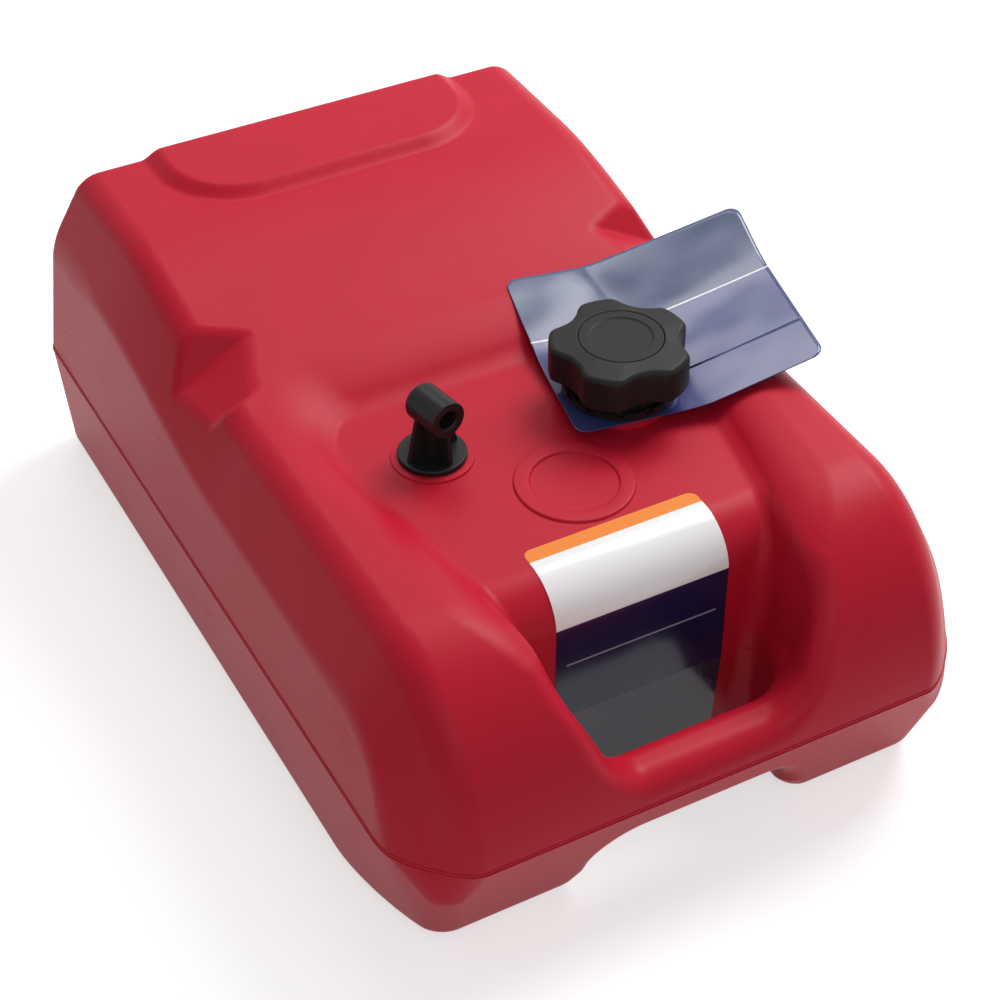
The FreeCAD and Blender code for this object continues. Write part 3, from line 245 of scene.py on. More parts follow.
def topForm(x, y, z):  # deck, slope, rails and nose
    t = np.clip((y - railBack) / shell["slopeLength"], 0, 1)
    steepness = (deck - rail) * 6 * t * (1 - t) / shell["slopeLength"]
    flat = (z - deckHeight(y) - padHeight(x, y)) / np.sqrt(1 + steepness ** 2)
    u = np.maximum(noseBack - y, 0) / noseReach
    v = np.maximum(z - seam, 0) / (rail - seam)
    size = np.maximum(np.hypot(u, v), 1e-6)
    slope = np.hypot(u / noseReach, v / (rail - seam)) / size
    nose = (size - 1) / slope
    rake = shell["frontRake"] * (seam - z) / seam
    low = (front + shell["beadRoom"] + rake - y) * math.cos(math.atan(shell["frontRake"] / seam))
    return np.where(y > noseBack, flat, np.where(z > seam, nose, low))


def chamferForm(x, y, z):
    t = np.clip((noseBack - y) / shell["noseLength"], 0, 1)
    ridgeHeight = deckHeight(y) - (rail - seam) * (1 - np.sqrt(1 - t * t))
    share = (deckHeight(y) - rail) / (deck - rail)
    slope = shell["chamferRail"] + (shell["chamferDeck"] - shell["chamferRail"]) * share
    fade = np.clip((front + shell["chamferFade"] - y) / shell["chamferFade"], 0, 1)
    slope = slope * (1 - fade ** 3)
    edge = shell["ridgeHalfWidth"] + slope * (ridgeHeight - z)
    return (np.abs(x) - edge) / np.sqrt(1 + slope ** 2)


def wallHalf(z):
    above, below = np.maximum(z - seam, 0), np.maximum(seam - z, 0)
    half = halfWidth - shell["beadRoom"]
    return half - above * tangent(shell["sideDraft"]) - below * tangent(shell["lowerDraft"])


def wallForm(x, y, z):  # sides and back
    above, below = np.maximum(z - seam, 0), np.maximum(seam - z, 0)
    rear = back - shell["beadRoom"]
    rear = rear - above * tangent(shell["backDraft"]) - below * tangent(shell["lowerDraft"])
    cornerR = shell["backCornerR"] + (shell["footBackR"] - shell["backCornerR"]) * below / seam
    return softMax(np.abs(x) - wallHalf(z), y - rear, cornerR)


def cutForm(x, y, z):  # the cut front corners
    share = np.maximum(seam - z, 0) / seam
    cutSide = shell["cutSide"] + (shell["footCutSide"] - shell["cutSide"]) * share
    cutFront = shell["cutFront"] + (shell["footCutFront"] - shell["cutFront"]) * share
    lead = front + shell["frontRake"] * share
    cut = (np.abs(x) - wallHalf(z) + cutFront) * cutSide - (y - lead) * cutFront
    return cut / np.hypot(cutSide, cutFront)


def bodyForm(x, y, z):
    nearNose = easeStep((noseBack + shell["noseBlendFrom"] - y) / shell["noseBlend"])
    ridgeR = shell["ridgeR"] + (shell["ridgeNoseR"] - shell["ridgeR"]) * nearNose
    bevel = softMax(chamferForm(x, y, z), cutForm(x, y, z), shell["bevelR"])
    upper = softMax(topForm(x, y, z), bevel, ridgeR)
    nearBack = easeStep((y - back + shell["backBlendFrom"]) / shell["backBlend"])
    foot = np.clip(1 - z / seam, 0, 1) * (1 - nearBack)
    edgeR = shell["chamferR"] + (shell["topBackR"] - shell["chamferR"]) * nearBack
    edgeR = edgeR + shell["noseEdgeR"] * nearNose + shell["footCornerR"] * foot
    form = softMax(upper, wallForm(x, y, z), edgeR)
    return softMax(form, -z, shell["baseEdgeR"])


def bayForm(x, y, z):  # the well, and the space above, behind and under the bar
    h = z - wellFloor(y)
    share = softBend(y - gripWall, well["waist"]) - softBend(y - wellBack + well["straight"], well["waist"])
    share = share / (wellBack - well["straight"] - gripWall)
    base = well["gripHalfWidth"] + (well["halfWidth"] - well["gripHalfWidth"]) * share
    spread = (y - front + well["frontReach"]) / (gripWall - front + well["frontReach"])
    spread = np.clip(spread, 0, 1) * well["gripFlare"]
    spread = (spread + (1 - well["gripFlare"]) * share) * well["flare"]
    up = softBend(h, well["floorBlend"])
    nearRoot = easeStep((barBack + well["rootBlendFrom"] - y) / well["rootBlend"])
    narrowing = well["gripNarrowing"] + well["rootNarrowing"] * nearRoot
    half = base + spread * up + narrowing * np.minimum(h, 0)
    hole = bar["holeFront"] + bar["holeFlare"] * (y - barBack)
    arch = bar["archHalfWidth"] + bar["archFlare"] * (bar["underside"] - z)
    aboveBar = easeStep((z - bar["top"] + bar["topBlend"]) / (2 * bar["topBlend"]))
    half = half + (np.maximum(hole, arch) - half) * (1 - aboveBar)
    tilt = np.sqrt(1 + (spread * easeStep(h / well["tiltBlend"] + 0.5)) ** 2)
    rearTilt = math.sqrt(1 + well["backFlare"] ** 2)
    rear = (y - wellBack - well["backFlare"] * up) / rearTilt
    sides = softMax((np.abs(x) - half) / tilt, rear, well["cornerR"] / rearTilt)
    wall = gripWall + tangent(bar["holeDraft"]) * np.maximum(seam - z, 0)
    block = softMax(h, wall - y, well["rollR"])  # the tank behind the wall, under the well
    low = easeStep((well["creaseTop"] - z) / well["creaseBlend"])
    creaseR = well["creaseR"] + (bar["cornerR"] - well["creaseR"]) * low
    return softMax(sides, -block, creaseR)


def notchForm(x, y, z):
    middle = back - notch["setback"]
    angle = math.radians(notch["angle"])
    foot = deckHeight(middle) - notch["depth"]
    rise = (np.abs(x) - shell["ridgeHalfWidth"]) * math.sin(angle) + (z - foot) * math.cos(angle)
    ends = np.abs(y - middle) - notch["halfWidth"] - notch["flare"] * rise
    return softMax(-rise, ends / math.hypot(1, notch["flare"]), notch["creaseR"])


def barForm(x, y, z):  # the grab bar, as a band right across the front
    return softMax(y - barBack, softMax(z - bar["top"], bar["underside"] - z, bar["edgeR"]), bar["edgeR"])


def shellForm(x, y, z):
    nearNose = easeStep((noseBack + well["noseRimFrom"] - y) / well["noseRimBlend"])
    opened = softMax(bayForm(x, y, z), -barForm(x, y, z), bar["rootR"])
    form = softMax(bodyForm(x, y, z), -opened, well["rimR"] + well["noseRimR"] * nearNose)
    return softMax(form, -notchForm(x, y, z), notch["rimR"])


def finishOf(piece, material, body, slot, *replaced):
    if not piece.data.materials:
        piece.data.materials.append(material)
    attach(piece, body)
    if replaced:
        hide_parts(*replaced)
    print(piece.name, len(piece.data.polygons), "faces")


def put(tree, kind, sockets=None, **settings):  # a node; a socket given as a value is linked
    node = tree.nodes.new(kind)
    for name, value in settings.items():
        setattr(node, name, value)
    for name, value in (sockets or {}).items():
        if isinstance(value, bpy.types.NodeSocket):
            tree.links.new(value, node.inputs[name])
        else:
            node.inputs[name].default_value = value
    return node


def newGroup(name, inputs, outputs):
    tree = bpy.data.node_groups.new(name, "ShaderNodeTree")
    for word, kind in inputs:
        tree.interface.new_socket(name=word, in_out="INPUT", socket_type="NodeSocket" + kind)
    for word in outputs:
        tree.interface.new_socket(name=word, in_out="OUTPUT", socket_type="NodeSocketFloat")
    return tree, put(tree, "NodeGroupInput").outputs, put(tree, "NodeGroupOutput").inputs


def noise(tree, vector, scale, detail):
    return put(tree, "ShaderNodeTexNoise", {"Vector": vector, "Scale": scale, "Detail": detail}).outputs[0]


def sums(tree, operation, *values):
    return put(tree, "ShaderNodeMath", dict(enumerate(values)), operation=operation).outputs[0]


skinGrain = {"fineDetail": 2.0, "fineShare": 0.65, "coarseScale": 0.31, "coarseDetail": 3.0,
             "waveDetail": 1.0, "patchScale": 2.7, "patchDetail": 4.0, "spread": 0.06}
rubLines = {"turn": (0.3, 0.2, 0.7), "stretch": (1.0, 0.12, 0.5), "detail": 3.0, "width": 0.012,
            "patchScale": 0.12, "patchDetail": 2.0, "patchFrom": 0.52, "patchFull": 0.66,
            "spacing": 60, "roughness": 0.10}


def grainGroup():  # moulded skin: fine grain, slow waves of the wall, patches of tone
    inputs = [("Vector", "Vector"), ("Grain", "Float"), ("Waves", "Float")]
    tree, given, out = newGroup("mouldedSkin", inputs, ["Height", "Wave", "Tone"])
    spot, share = given["Vector"], skinGrain["fineShare"]
    fine = noise(tree, spot, given["Grain"], skinGrain["fineDetail"])
    wider = sums(tree, "MULTIPLY", given["Grain"], skinGrain["coarseScale"])
    coarse = noise(tree, spot, wider, skinGrain["coarseDetail"])
    height = sums(tree, "MULTIPLY_ADD", fine, share, sums(tree, "MULTIPLY", coarse, 1 - share))
    tree.links.new(height, out["Height"])
    tree.links.new(noise(tree, spot, given["Waves"], skinGrain["waveDetail"]), out["Wave"])
    patchScale = sums(tree, "MULTIPLY", given["Waves"], skinGrain["patchScale"])
    tree.links.new(noise(tree, spot, patchScale, skinGrain["patchDetail"]), out["Tone"])
    return tree


def scuffGroup():  # hairline rubs, in patches
    tree, given, out = newGroup("handlingRubs", [("Vector", "Vector"), ("Spacing", "Float")], ["Rub"])
    stretched = put(tree, "ShaderNodeMapping", {"Vector": given["Vector"], "Rotation": rubLines["turn"],
                                                "Scale": rubLines["stretch"]}).outputs[0]
    lines = noise(tree, stretched, given["Spacing"], rubLines["detail"])
    near = sums(tree, "ABSOLUTE", sums(tree, "SUBTRACT", lines, 0.5))
    thin = put(tree, "ShaderNodeMapRange", {0: near, 1: 0.0, 2: rubLines["width"], 3: 1.0, 4: 0.0}).outputs[0]
    patchScale = sums(tree, "MULTIPLY", given["Spacing"], rubLines["patchScale"])
    patches = noise(tree, given["Vector"], patchScale, rubLines["patchDetail"])
    where = put(tree, "ShaderNodeMapRange", {0: patches, 1: rubLines["patchFrom"], 2: rubLines["patchFull"],
                                             3: 0.0, 4: 1.0}).outputs[0]
    tree.links.new(sums(tree, "MULTIPLY", thin, where), out["Rub"])
    return tree


skinTree = grainGroup()
rubTree = scuffGroup()


def mix(tree, share, first, second):
    node = put(tree, "ShaderNodeMix", data_type="RGBA")
    for socket, value in ((node.inputs[0], share), (node.inputs[6], first), (node.inputs[7], second)):
        if isinstance(value, bpy.types.NodeSocket):
            tree.links.new(value, socket)
        else:
            socket.default_value = value if socket.type == "VALUE" else (*value, 1)
    return node.outputs[2]


def finish(name, look, paint=None):  # a moulded, rubber, printed or metal finish from one dictionary
    material = bpy.data.materials.new(name)
    material.use_nodes = True
    tree = material.node_tree
    shader = tree.nodes["Principled BSDF"]
    spot = put(tree, "ShaderNodeTexCoord").outputs["Object"]
    skin = put(tree, "ShaderNodeGroup", node_tree=skinTree)
    skin.inputs["Grain"].default_value = look["grain"]
    skin.inputs["Waves"].default_value = look["waves"]
    tree.links.new(spot, skin.inputs["Vector"])
    rub = put(tree, "ShaderNodeGroup", node_tree=rubTree)
    rub.inputs["Spacing"].default_value = look.get("rubs", rubLines["spacing"])
    tree.links.new(spot, rub.inputs["Vector"])
    if paint:
        colour = paint(tree, spot)
    else:
        colour = mix(tree, skin.outputs["Tone"], look["colour"], look["tone"])
    if look.get("rubShade"):
        shade = sums(tree, "MULTIPLY", rub.outputs["Rub"], look["rubShade"])
        colour = mix(tree, shade, colour, look["rubColour"])
    tree.links.new(colour, shader.inputs["Base Color"])
    spread = look.get("spread", skinGrain["spread"])
    rough = sums(tree, "MULTIPLY_ADD", skin.outputs["Tone"], spread, look["rough"] - spread / 2)
    rough = sums(tree, "MULTIPLY_ADD", rub.outputs["Rub"], rubLines["roughness"], rough)
    tree.links.new(rough, shader.inputs["Roughness"])
    low = put(tree, "ShaderNodeBump", {"Height": skin.outputs["Wave"], "Distance": look["waveDepth"],
                                       "Strength": 1.0})
    fine = put(tree, "ShaderNodeBump", {"Height": skin.outputs["Height"], "Distance": look["depth"],
                                        "Strength": 1.0, "Normal": low.outputs[0]})
    tree.links.new(fine.outputs[0], shader.inputs["Normal"])
    for socket, value in look.get("shader", {}).items():
        shader.inputs[socket].default_value = value
    return material


crimsonLook = {"colour": (0.47, 0.008, 0.026), "tone": (0.52, 0.012, 0.034), "rough": 0.40, "spread": 0.07,
               "grain": 900, "depth": 0.00004, "waves": 9, "waveDepth": 0.0006,
               "rubShade": 0.03, "rubColour": (0.60, 0.10, 0.12), "rubs": 90,
               "shader": {"Specular IOR Level": 0.13}}
capLook = {"colour": (0.007, 0.007, 0.007), "tone": (0.013, 0.012, 0.013), "rough": 0.46, "spread": 0.08,
           "grain": 2600, "depth": 0.00005, "waves": 60, "waveDepth": 0.0001,
           "rubShade": 0.15, "rubColour": (0.06, 0.06, 0.06), "rubs": 260,
           "shader": {"Specular IOR Level": 0.16}}
coreLook = {**capLook, "colour": (0.007, 0.006, 0.006), "tone": (0.012, 0.011, 0.011), "rough": 0.38}
fittingLook = {**capLook, "colour": (0.009, 0.009, 0.009), "tone": (0.018, 0.017, 0.017), "rough": 0.34,
               "depth": 0.00003}
crimson = finish("crimsonPolyethylene", crimsonLook)
capBlack = finish("capBlackTexture", capLook)
coreBlack = finish("coreBlackNylon", coreLook)
fittingBlack = finish("fittingBlackAcetal", fittingLook)

shellPiece = carve("tankShell", shellForm, (-halfWidth, front, 0), (halfWidth, back, tankHigh.z))
finishOf(shellPiece, crimson, "tank", "shell", "tank_shell")


# the navy below the seam is lighter and greyer: partly the label's own lower print, partly a painted reflection
label = {"orangeEnd": -0.1555, "whiteEnd": 0.1375, "ruleHeight": 0.1105, "ruleThick": 0.0006, "ruleHalf": 0.046,
         "orange": (0.87, 0.235, 0.015), "white": (0.89, 0.87, 0.88), "navy": (0.006, 0.012, 0.056),
         "lowNavyAndSheen": (0.018, 0.020, 0.046), "rule": (0.30, 0.31, 0.40)}
card = {"shift": (0.0443, 0.0299), "turn": -10.5, "low": (-0.0735, -0.0695), "high": (0.0712, 0.0625),
        "spokes": 480, "rings": 40, "reach": 0.2, "slopeStep": 0.0005, "cornerR": 0.007, "holeR": 0.0264,
        "slit": 0.0024, "slitEnd": 0.45, "slitFan": 0.3, "slitShut": 0.00001,
        "rise": 0.0066, "deckBend": 0.037, "railBend": 0.033, "softness": 0.008, "gap": 0.0003,
        "lean": (0.020, -0.012), "cadDepth": 0.128, "thickness": 0.0004, "ruleAt": 0.0128, "ruleThick": 0.0011,
        "blue": (0.046, 0.055, 0.190), "paleBlue": (0.060, 0.082, 0.175), "rule": (0.70, 0.72, 0.76)}


def labelPaint(tree, spot):
    x, y, z = put(tree, "ShaderNodeSeparateXYZ", {0: spot}).outputs
    # below the seam: the lower print's grey-navy with a painted reflection mixed into its colour
    lower = sums(tree, "LESS_THAN", z, seam)
    navy = mix(tree, lower, label["navy"], label["lowNavyAndSheen"])
    near = sums(tree, "ABSOLUTE", sums(tree, "SUBTRACT", z, label["ruleHeight"]))
    rule = sums(tree, "MULTIPLY", sums(tree, "LESS_THAN", near, label["ruleThick"]),
                sums(tree, "LESS_THAN", sums(tree, "ABSOLUTE", x), label["ruleHalf"]))
    navy = mix(tree, rule, navy, label["rule"])
    upper = mix(tree, sums(tree, "LESS_THAN", z, label["whiteEnd"]), label["white"], navy)
    return mix(tree, sums(tree, "GREATER_THAN", y, label["orangeEnd"]), upper, label["orange"])


def cardPaint(tree, spot):
    place = (capX + card["shift"][0], capY + card["shift"][1], 0)
    turned = {"Vector": spot, "Location": place, "Rotation": (0, 0, math.radians(card["turn"]))}
    flat = put(tree, "ShaderNodeMapping", turned, vector_type="TEXTURE").outputs[0]
    y = put(tree, "ShaderNodeSeparateXYZ", {0: flat}).outputs[1]
    upper = sums(tree, "GREATER_THAN", y, card["ruleAt"])
    blue = mix(tree, upper, card["blue"], card["paleBlue"])
    near = sums(tree, "ABSOLUTE", sums(tree, "SUBTRACT", y, card["ruleAt"]))
    return mix(tree, sums(tree, "LESS_THAN", near, card["ruleThick"] / 2), blue, card["rule"])


printLook = {"rough": 0.16, "spread": 0.05, "grain": 700, "depth": 0.000004, "waves": 22,
             "waveDepth": 0.0004, "rubShade": 0.02, "rubColour": (0.6, 0.6, 0.62), "rubs": 120}
labelPrint = finish("labelPrint", printLook, labelPaint)
cardPrint = finish("cardPrint", {**printLook, "rough": 0.14, "waveDepth": 0.0008}, cardPaint)


def newTree(name, inputs):
    tree = bpy.data.node_groups.new(name, "GeometryNodeTree")
    tree.interface.new_socket(name="Geometry", in_out="INPUT", socket_type="NodeSocketGeometry")
    for word, kind in inputs:
        tree.interface.new_socket(name=word, in_out="INPUT", socket_type="NodeSocket" + kind)
    tree.interface.new_socket(name="Geometry", in_out="OUTPUT", socket_type="NodeSocketGeometry")
    return tree, put(tree, "NodeGroupInput").outputs, put(tree, "NodeGroupOutput").inputs


def swept(tree, path, given, out):  # a round bead along the path, as one plain mesh
    circle = put(tree, "GeometryNodeCurvePrimitiveCircle", {"Resolution": given["Sides"],
                                                            "Radius": given["Bead Radius"]}).outputs[0]
    tube = put(tree, "GeometryNodeCurveToMesh", {"Curve": path, "Profile Curve": circle,
                                                 "Fill Caps": True}).outputs[0]
    real = put(tree, "GeometryNodeRealizeInstances", {0: tube}).outputs[0]
    painted = put(tree, "GeometryNodeSetMaterial", {"Geometry": real, "Material": given["Material"]})
    tree.links.new(painted.outputs[0], out[0])


def beadTree():
    tree, given, out = newTree("beadAlongOutline", [("Bead Radius", "Float"), ("Sides", "Int"),
                                                    ("Material", "Material")])
    path = put(tree, "GeometryNodeMeshToCurve", {0: given["Geometry"]}).outputs[0]
    swept(tree, path, given, out)
    return tree


def threadTree():
    tree, given, out = newTree("threadTurns", [("Turns", "Float"), ("Radius", "Float"), ("Pitch", "Float"),
                                               ("Centre", "Vector"), ("Steps", "Int"), ("Bead Radius", "Float"),
                                               ("Sides", "Int"), ("Material", "Material")])
    height = sums(tree, "MULTIPLY", given["Turns"], given["Pitch"])
    sizes = {"Resolution": given["Steps"], "Rotations": given["Turns"], "Start Radius": given["Radius"],
             "End Radius": given["Radius"], "Height": height}
    spiral = put(tree, "GeometryNodeCurveSpiral", sizes).outputs[0]
    placed = put(tree, "GeometryNodeTransform", {"Geometry": spiral, "Translation": given["Centre"]})
    swept(tree, placed.outputs[0], given, out)
    return tree


def grow(piece, tree, values):  # runs the tree on the piece and keeps a plain mesh
    nodesOf = piece.modifiers.new("grow", "NODES")
    nodesOf.node_group = tree
    for item in tree.interface.items_tree:
        if item.in_out == "INPUT" and item.name in values:
            nodesOf[item.identifier] = values[item.name]
    settle(piece)
    piece.data.polygons.foreach_set("use_smooth", [True] * len(piece.data.polygons))


def ringFaces(rings, steps):  # quads between rings of points, the last ring joined to the first
    faces = []
    for i in range(rings):
        here, following = i * steps, (i + 1) % rings * steps
        for j in range(steps):
            beside = (j + 1) % steps
            faces.append((here + j, here + beside, following + beside, following + j))
    return faces


marching = {"steps": 200, "halvings": 30}


def outline(form, centre, height, reach, count, start=0.0):  # where a level cut ends, round a centre
    angles = start + np.arange(count) * 2 * math.pi / count

    def inside(reached):
        x, y = centre[0] + reached * np.cos(angles), centre[1] + reached * np.sin(angles)
        return form(x, y, np.full(count, height)) < 0

    low = np.zeros(count)
    going = np.full(count, True)
    step = reach / marching["steps"]
    for _ in range(marching["steps"]):
        going &= inside(low + step)
        low = np.where(going, low + step, low)
    high = low + step
    for _ in range(marching["halvings"]):
        middle = (low + high) / 2
        within = inside(middle)
        low, high = np.where(within, middle, low), np.where(within, high, middle)
    x, y = centre[0] + low * np.cos(angles), centre[1] + low * np.sin(angles)
    return np.stack([x, y, np.full(count, height)], 1)


seamBead = {"labelHalf": 0.0528, "labelFrom": -0.2, "radius": 0.0004, "gap": 0.0022, "sides": 8,
            "outerSteps": 1400, "outerReach": 0.4, "holeSteps": 520, "holeReach": 0.12}
loops, edges = [], []
for height in (seam, seam + seamBead["gap"]):
    outer = outline(bodyForm, (0, 0), height, seamBead["outerReach"], seamBead["outerSteps"])
    hole = outline(lambda x, y, z: -shellForm(x, y, z), (0, (barBack + gripWall) / 2), height,
                   seamBead["holeReach"], seamBead["holeSteps"])
    for loop in (outer, hole):
        first = sum(len(done) for done in loops)
        bare = np.abs(loop[:, 0]) > seamBead["labelHalf"]  # the bead stops beside the label
        bare = bare | (loop[:, 1] < seamBead["labelFrom"]) | (loop[:, 1] > 0)
        edges += [(first + i, first + (i + 1) % len(loop)) for i in range(len(loop))
                  if bare[i] and bare[(i + 1) % len(loop)]]
        loops.append(loop)
parting = meshPiece("partingBead", np.concatenate(loops), [], edges=edges)
grow(parting, beadTree(), {"Bead Radius": seamBead["radius"], "Sides": seamBead["sides"], "Material": crimson})
finishOf(parting, crimson, "tank", "shell")


def lathe(name, profile, centre, steps, tilt=0.0):  # a closed profile of radius and height, turned
    angles = np.arange(steps) * 2 * math.pi / steps
    profile = np.array(profile)
    rings = np.stack([profile[:, 0][:, None] * np.cos(angles), profile[:, 0][:, None] * np.sin(angles),
                      np.repeat(profile[:, 1][:, None], steps, 1)], 2)
    rings[:, :, 2] += rings[:, :, 1] * tilt
    points = rings.reshape(-1, 3) + np.array(centre)
    return meshPiece(name, points, ringFaces(len(profile), steps))


def rounded(corners, radius, steps=5):  # a closed outline with its corners rounded
    found = []
    for i, corner in enumerate(corners):
        corner = np.array(corner[:2])
        before = np.array(corners[i - 1][:2]) - corner
        after = np.array(corners[(i + 1) % len(corners)][:2]) - corner
        size = corners[i][2] if len(corners[i]) > 2 else radius
        before, after = before / np.linalg.norm(before), after / np.linalg.norm(after)
        for k in range(steps):
            t = k / (steps - 1)
            found.append(corner + size * ((1 - t) ** 2 * before + t ** 2 * after))
    return found


gaugeSeat = {"setback": 0.3735, "outer": 0.0329, "inner": 0.0246, "rise": 0.0014, "edge": 0.0009,
             "sunk": 0.0015, "flare": 0.0012, "steps": 160}
ringY = back - gaugeSeat["setback"]
ringFloor = float(wellFloor(ringY))
seat = [(gaugeSeat["inner"] - gaugeSeat["flare"], -gaugeSeat["sunk"]),
        (gaugeSeat["outer"] + gaugeSeat["flare"], -gaugeSeat["sunk"]),
        (gaugeSeat["outer"], gaugeSeat["rise"]), (gaugeSeat["inner"], gaugeSeat["rise"])]
ring = lathe("gaugeSeatRing", rounded(seat, gaugeSeat["edge"]), (0, ringY, ringFloor), gaugeSeat["steps"],
             tangent(well["fall"]))
finishOf(ring, crimson, "tank", "shell")

capFloor = float(wellFloor(capY))  # the well floor round the neck and the outlet, which stand level
outletSeat = {"radius": 0.0231, "bore": 0.0105, "rise": 0.001, "edge": 0.0005, "sunk": 0.003, "flare": 0.001,
              "steps": 120}
profile = [(outletSeat["bore"], -outletSeat["sunk"]),
           (outletSeat["radius"] + outletSeat["flare"], -outletSeat["sunk"]),
           (outletSeat["radius"], outletSeat["rise"]), (outletSeat["bore"], outletSeat["rise"])]
seatDisc = lathe("outletSeat", rounded(profile, outletSeat["edge"]), (portX, portY, capFloor),
                 outletSeat["steps"])
finishOf(seatDisc, crimson, "tank", "shell")

neck = {"bore": 0.020, "outer": 0.0236, "height": 0.029, "shoulderR": 0.0275, "shoulder": 0.0055,
        "flare": 0.002, "step": 0.001, "stepR": 0.0006, "edge": 0.0007, "sunk": 0.004, "steps": 128,
        "threadStart": 0.008, "turns": 1.75, "pitch": 0.006, "bead": 0.0013, "beadStand": 0.0003,
        "threadSteps": 90, "threadSides": 10}
profile = [(neck["bore"], -neck["sunk"]), (neck["shoulderR"] + neck["flare"], -neck["sunk"]),
           (neck["shoulderR"], neck["shoulder"]),
           (neck["outer"], neck["shoulder"] + neck["step"], neck["stepR"]),
           (neck["outer"], neck["height"]), (neck["bore"], neck["height"])]
collar = lathe("fillerNeck", rounded(profile, neck["edge"]), (capX, capY, capFloor), neck["steps"])
finishOf(collar, crimson, "tank", "shell")
spiral = meshPiece("neckThread", [], [])
grow(spiral, threadTree(), {"Turns": neck["turns"], "Radius": neck["outer"] + neck["beadStand"],
                            "Pitch": neck["pitch"], "Centre": (capX, capY, capFloor + neck["threadStart"]),
                            "Steps": neck["threadSteps"], "Bead Radius": neck["bead"],
                            "Sides": neck["threadSides"], "Material": crimson})
finishOf(spiral, crimson, "tank", "shell")


knob = {"radius": 0.0402, "lobes": 5, "fluteR": 0.022, "fluteDepth": 0.0068, "fluteTurn": 44.5,
        "fluteEdgeR": 0.003, "dome": 0.0018, "footRise": 0.0022, "edgeR": 0.0032, "footR": 0.0008,
        "top": 0.0032, "bore": 0.02945, "boreR": 0.001, "seatR": 0.02405, "seatDepth": 0.0018,
        "seatEdge": 0.0004, "seatEase": 0.3, "postR": 0.0041, "beadRise": 0.0045, "beadHeight": 0.0018,
        "beadDepth": 0.00095, "beadR": 0.0003, "floorR": 0.0002, "lip": 0.0005, "faceGap": 0.0006,
        "wallStart": 0.0015, "steps": 360, "footSteps": 6, "edgeSteps": 8,
        "leastR": 0.02, "mostR": 0.05, "halvings": 40, "slopeStep": 1e-5}
knobLow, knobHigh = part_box("cap_knob")


def knobOutline(x, y):
    form = np.hypot(x, y) - knob["radius"]
    reach = knob["radius"] - knob["fluteDepth"] + knob["fluteR"]
    for i in range(knob["lobes"]):
        angle = math.radians(knob["fluteTurn"] + 360 * i / knob["lobes"])
        flute = knob["fluteR"] - np.hypot(x - reach * math.cos(angle), y - reach * math.sin(angle))
        form = softMax(form, flute, knob["fluteEdgeR"])
    return form


def knobEdge(cosines, sines):  # points round the lobes, and the way out at each
    low, high = np.full(knob["steps"], knob["leastR"]), np.full(knob["steps"], knob["mostR"])
    for _ in range(knob["halvings"]):
        middle = (low + high) / 2
        within = knobOutline(middle * cosines, middle * sines) < 0
        low, high = np.where(within, middle, low), np.where(within, high, middle)
    x, y, tiny = low * cosines, low * sines, knob["slopeStep"]
    outward = np.stack([knobOutline(x + tiny, y) - knobOutline(x - tiny, y),
                        knobOutline(x, y + tiny) - knobOutline(x, y - tiny)], 1)
    return np.stack([x, y], 1), outward / np.linalg.norm(outward, axis=1)[:, None]


def capKnob():  # rings of points from the post, down the bore, up the lobes and over the top
    angles = np.arange(knob["steps"]) * 2 * math.pi / knob["steps"]
    cosines, sines = np.cos(angles), np.sin(angles)
    edge, outward = knobEdge(cosines, sines)
    foot, crown = knobLow.z + knob["footRise"], knobHigh.z
    shoulder, ceiling = crown - knob["dome"], crown - knob["top"]
    rings = []

    def lobed(inset, height):
        rings.append(np.column_stack([edge - outward * inset, np.full(knob["steps"], height)]))

    def circles(*places):
        for radius, height in places:
            rings.append(np.column_stack([radius * cosines, radius * sines, np.full(knob["steps"], height)]))

    bore, soft, small = knob["bore"], knob["seatEdge"], knob["beadR"]
    beadLow = foot + knob["beadRise"]
    beadHigh = beadLow + knob["beadHeight"]
    inner = bore - knob["beadDepth"]
    circles((knob["postR"], ceiling), (bore - knob["boreR"], ceiling), (bore, ceiling - knob["boreR"]),
            (bore, beadHigh + soft), (inner, beadHigh - small), (inner, beadLow + small),
            (bore, beadLow - soft), (bore, foot + knob["faceGap"]), (bore + knob["lip"], foot),
            (bore + 2 * knob["lip"], foot))
    for k in range(knob["footSteps"] + 1):
        turn = math.pi / 2 * k / knob["footSteps"]
        lobed(knob["footR"] * (1 - math.sin(turn)), foot + knob["footR"] * (1 - math.cos(turn)))
    lobed(0, foot + knob["wallStart"])
    lobed(0, shoulder - knob["edgeR"] - knob["faceGap"])
    for k in range(knob["edgeSteps"] + 1):
        turn = math.pi / 2 * k / knob["edgeSteps"]
        lobed(knob["edgeR"] * (1 - math.cos(turn)), shoulder - knob["edgeR"] * (1 - math.sin(turn)))
    lobed(knob["edgeR"] + knob["faceGap"], shoulder)
    seat, floorOf = knob["seatR"], crown - knob["seatDepth"]
    ease = soft * knob["seatEase"]
    circles((seat + soft + knob["lip"], crown), (seat + soft, crown), (seat + ease, crown - ease),
            (seat, crown - soft), (seat, floorOf + knob["floorR"]), (seat - small, floorOf),
            (knob["postR"] + knob["lip"], floorOf), (knob["postR"], floorOf))
    points = np.concatenate(rings) + np.array((capX, capY, 0))
    return meshPiece("capKnob", points, ringFaces(len(rings), knob["steps"]))


finishOf(capKnob(), capBlack, "cap_grip", "cap_knob", "cap_knob")


def bend(distance):
    return softBend(distance, card["softness"])


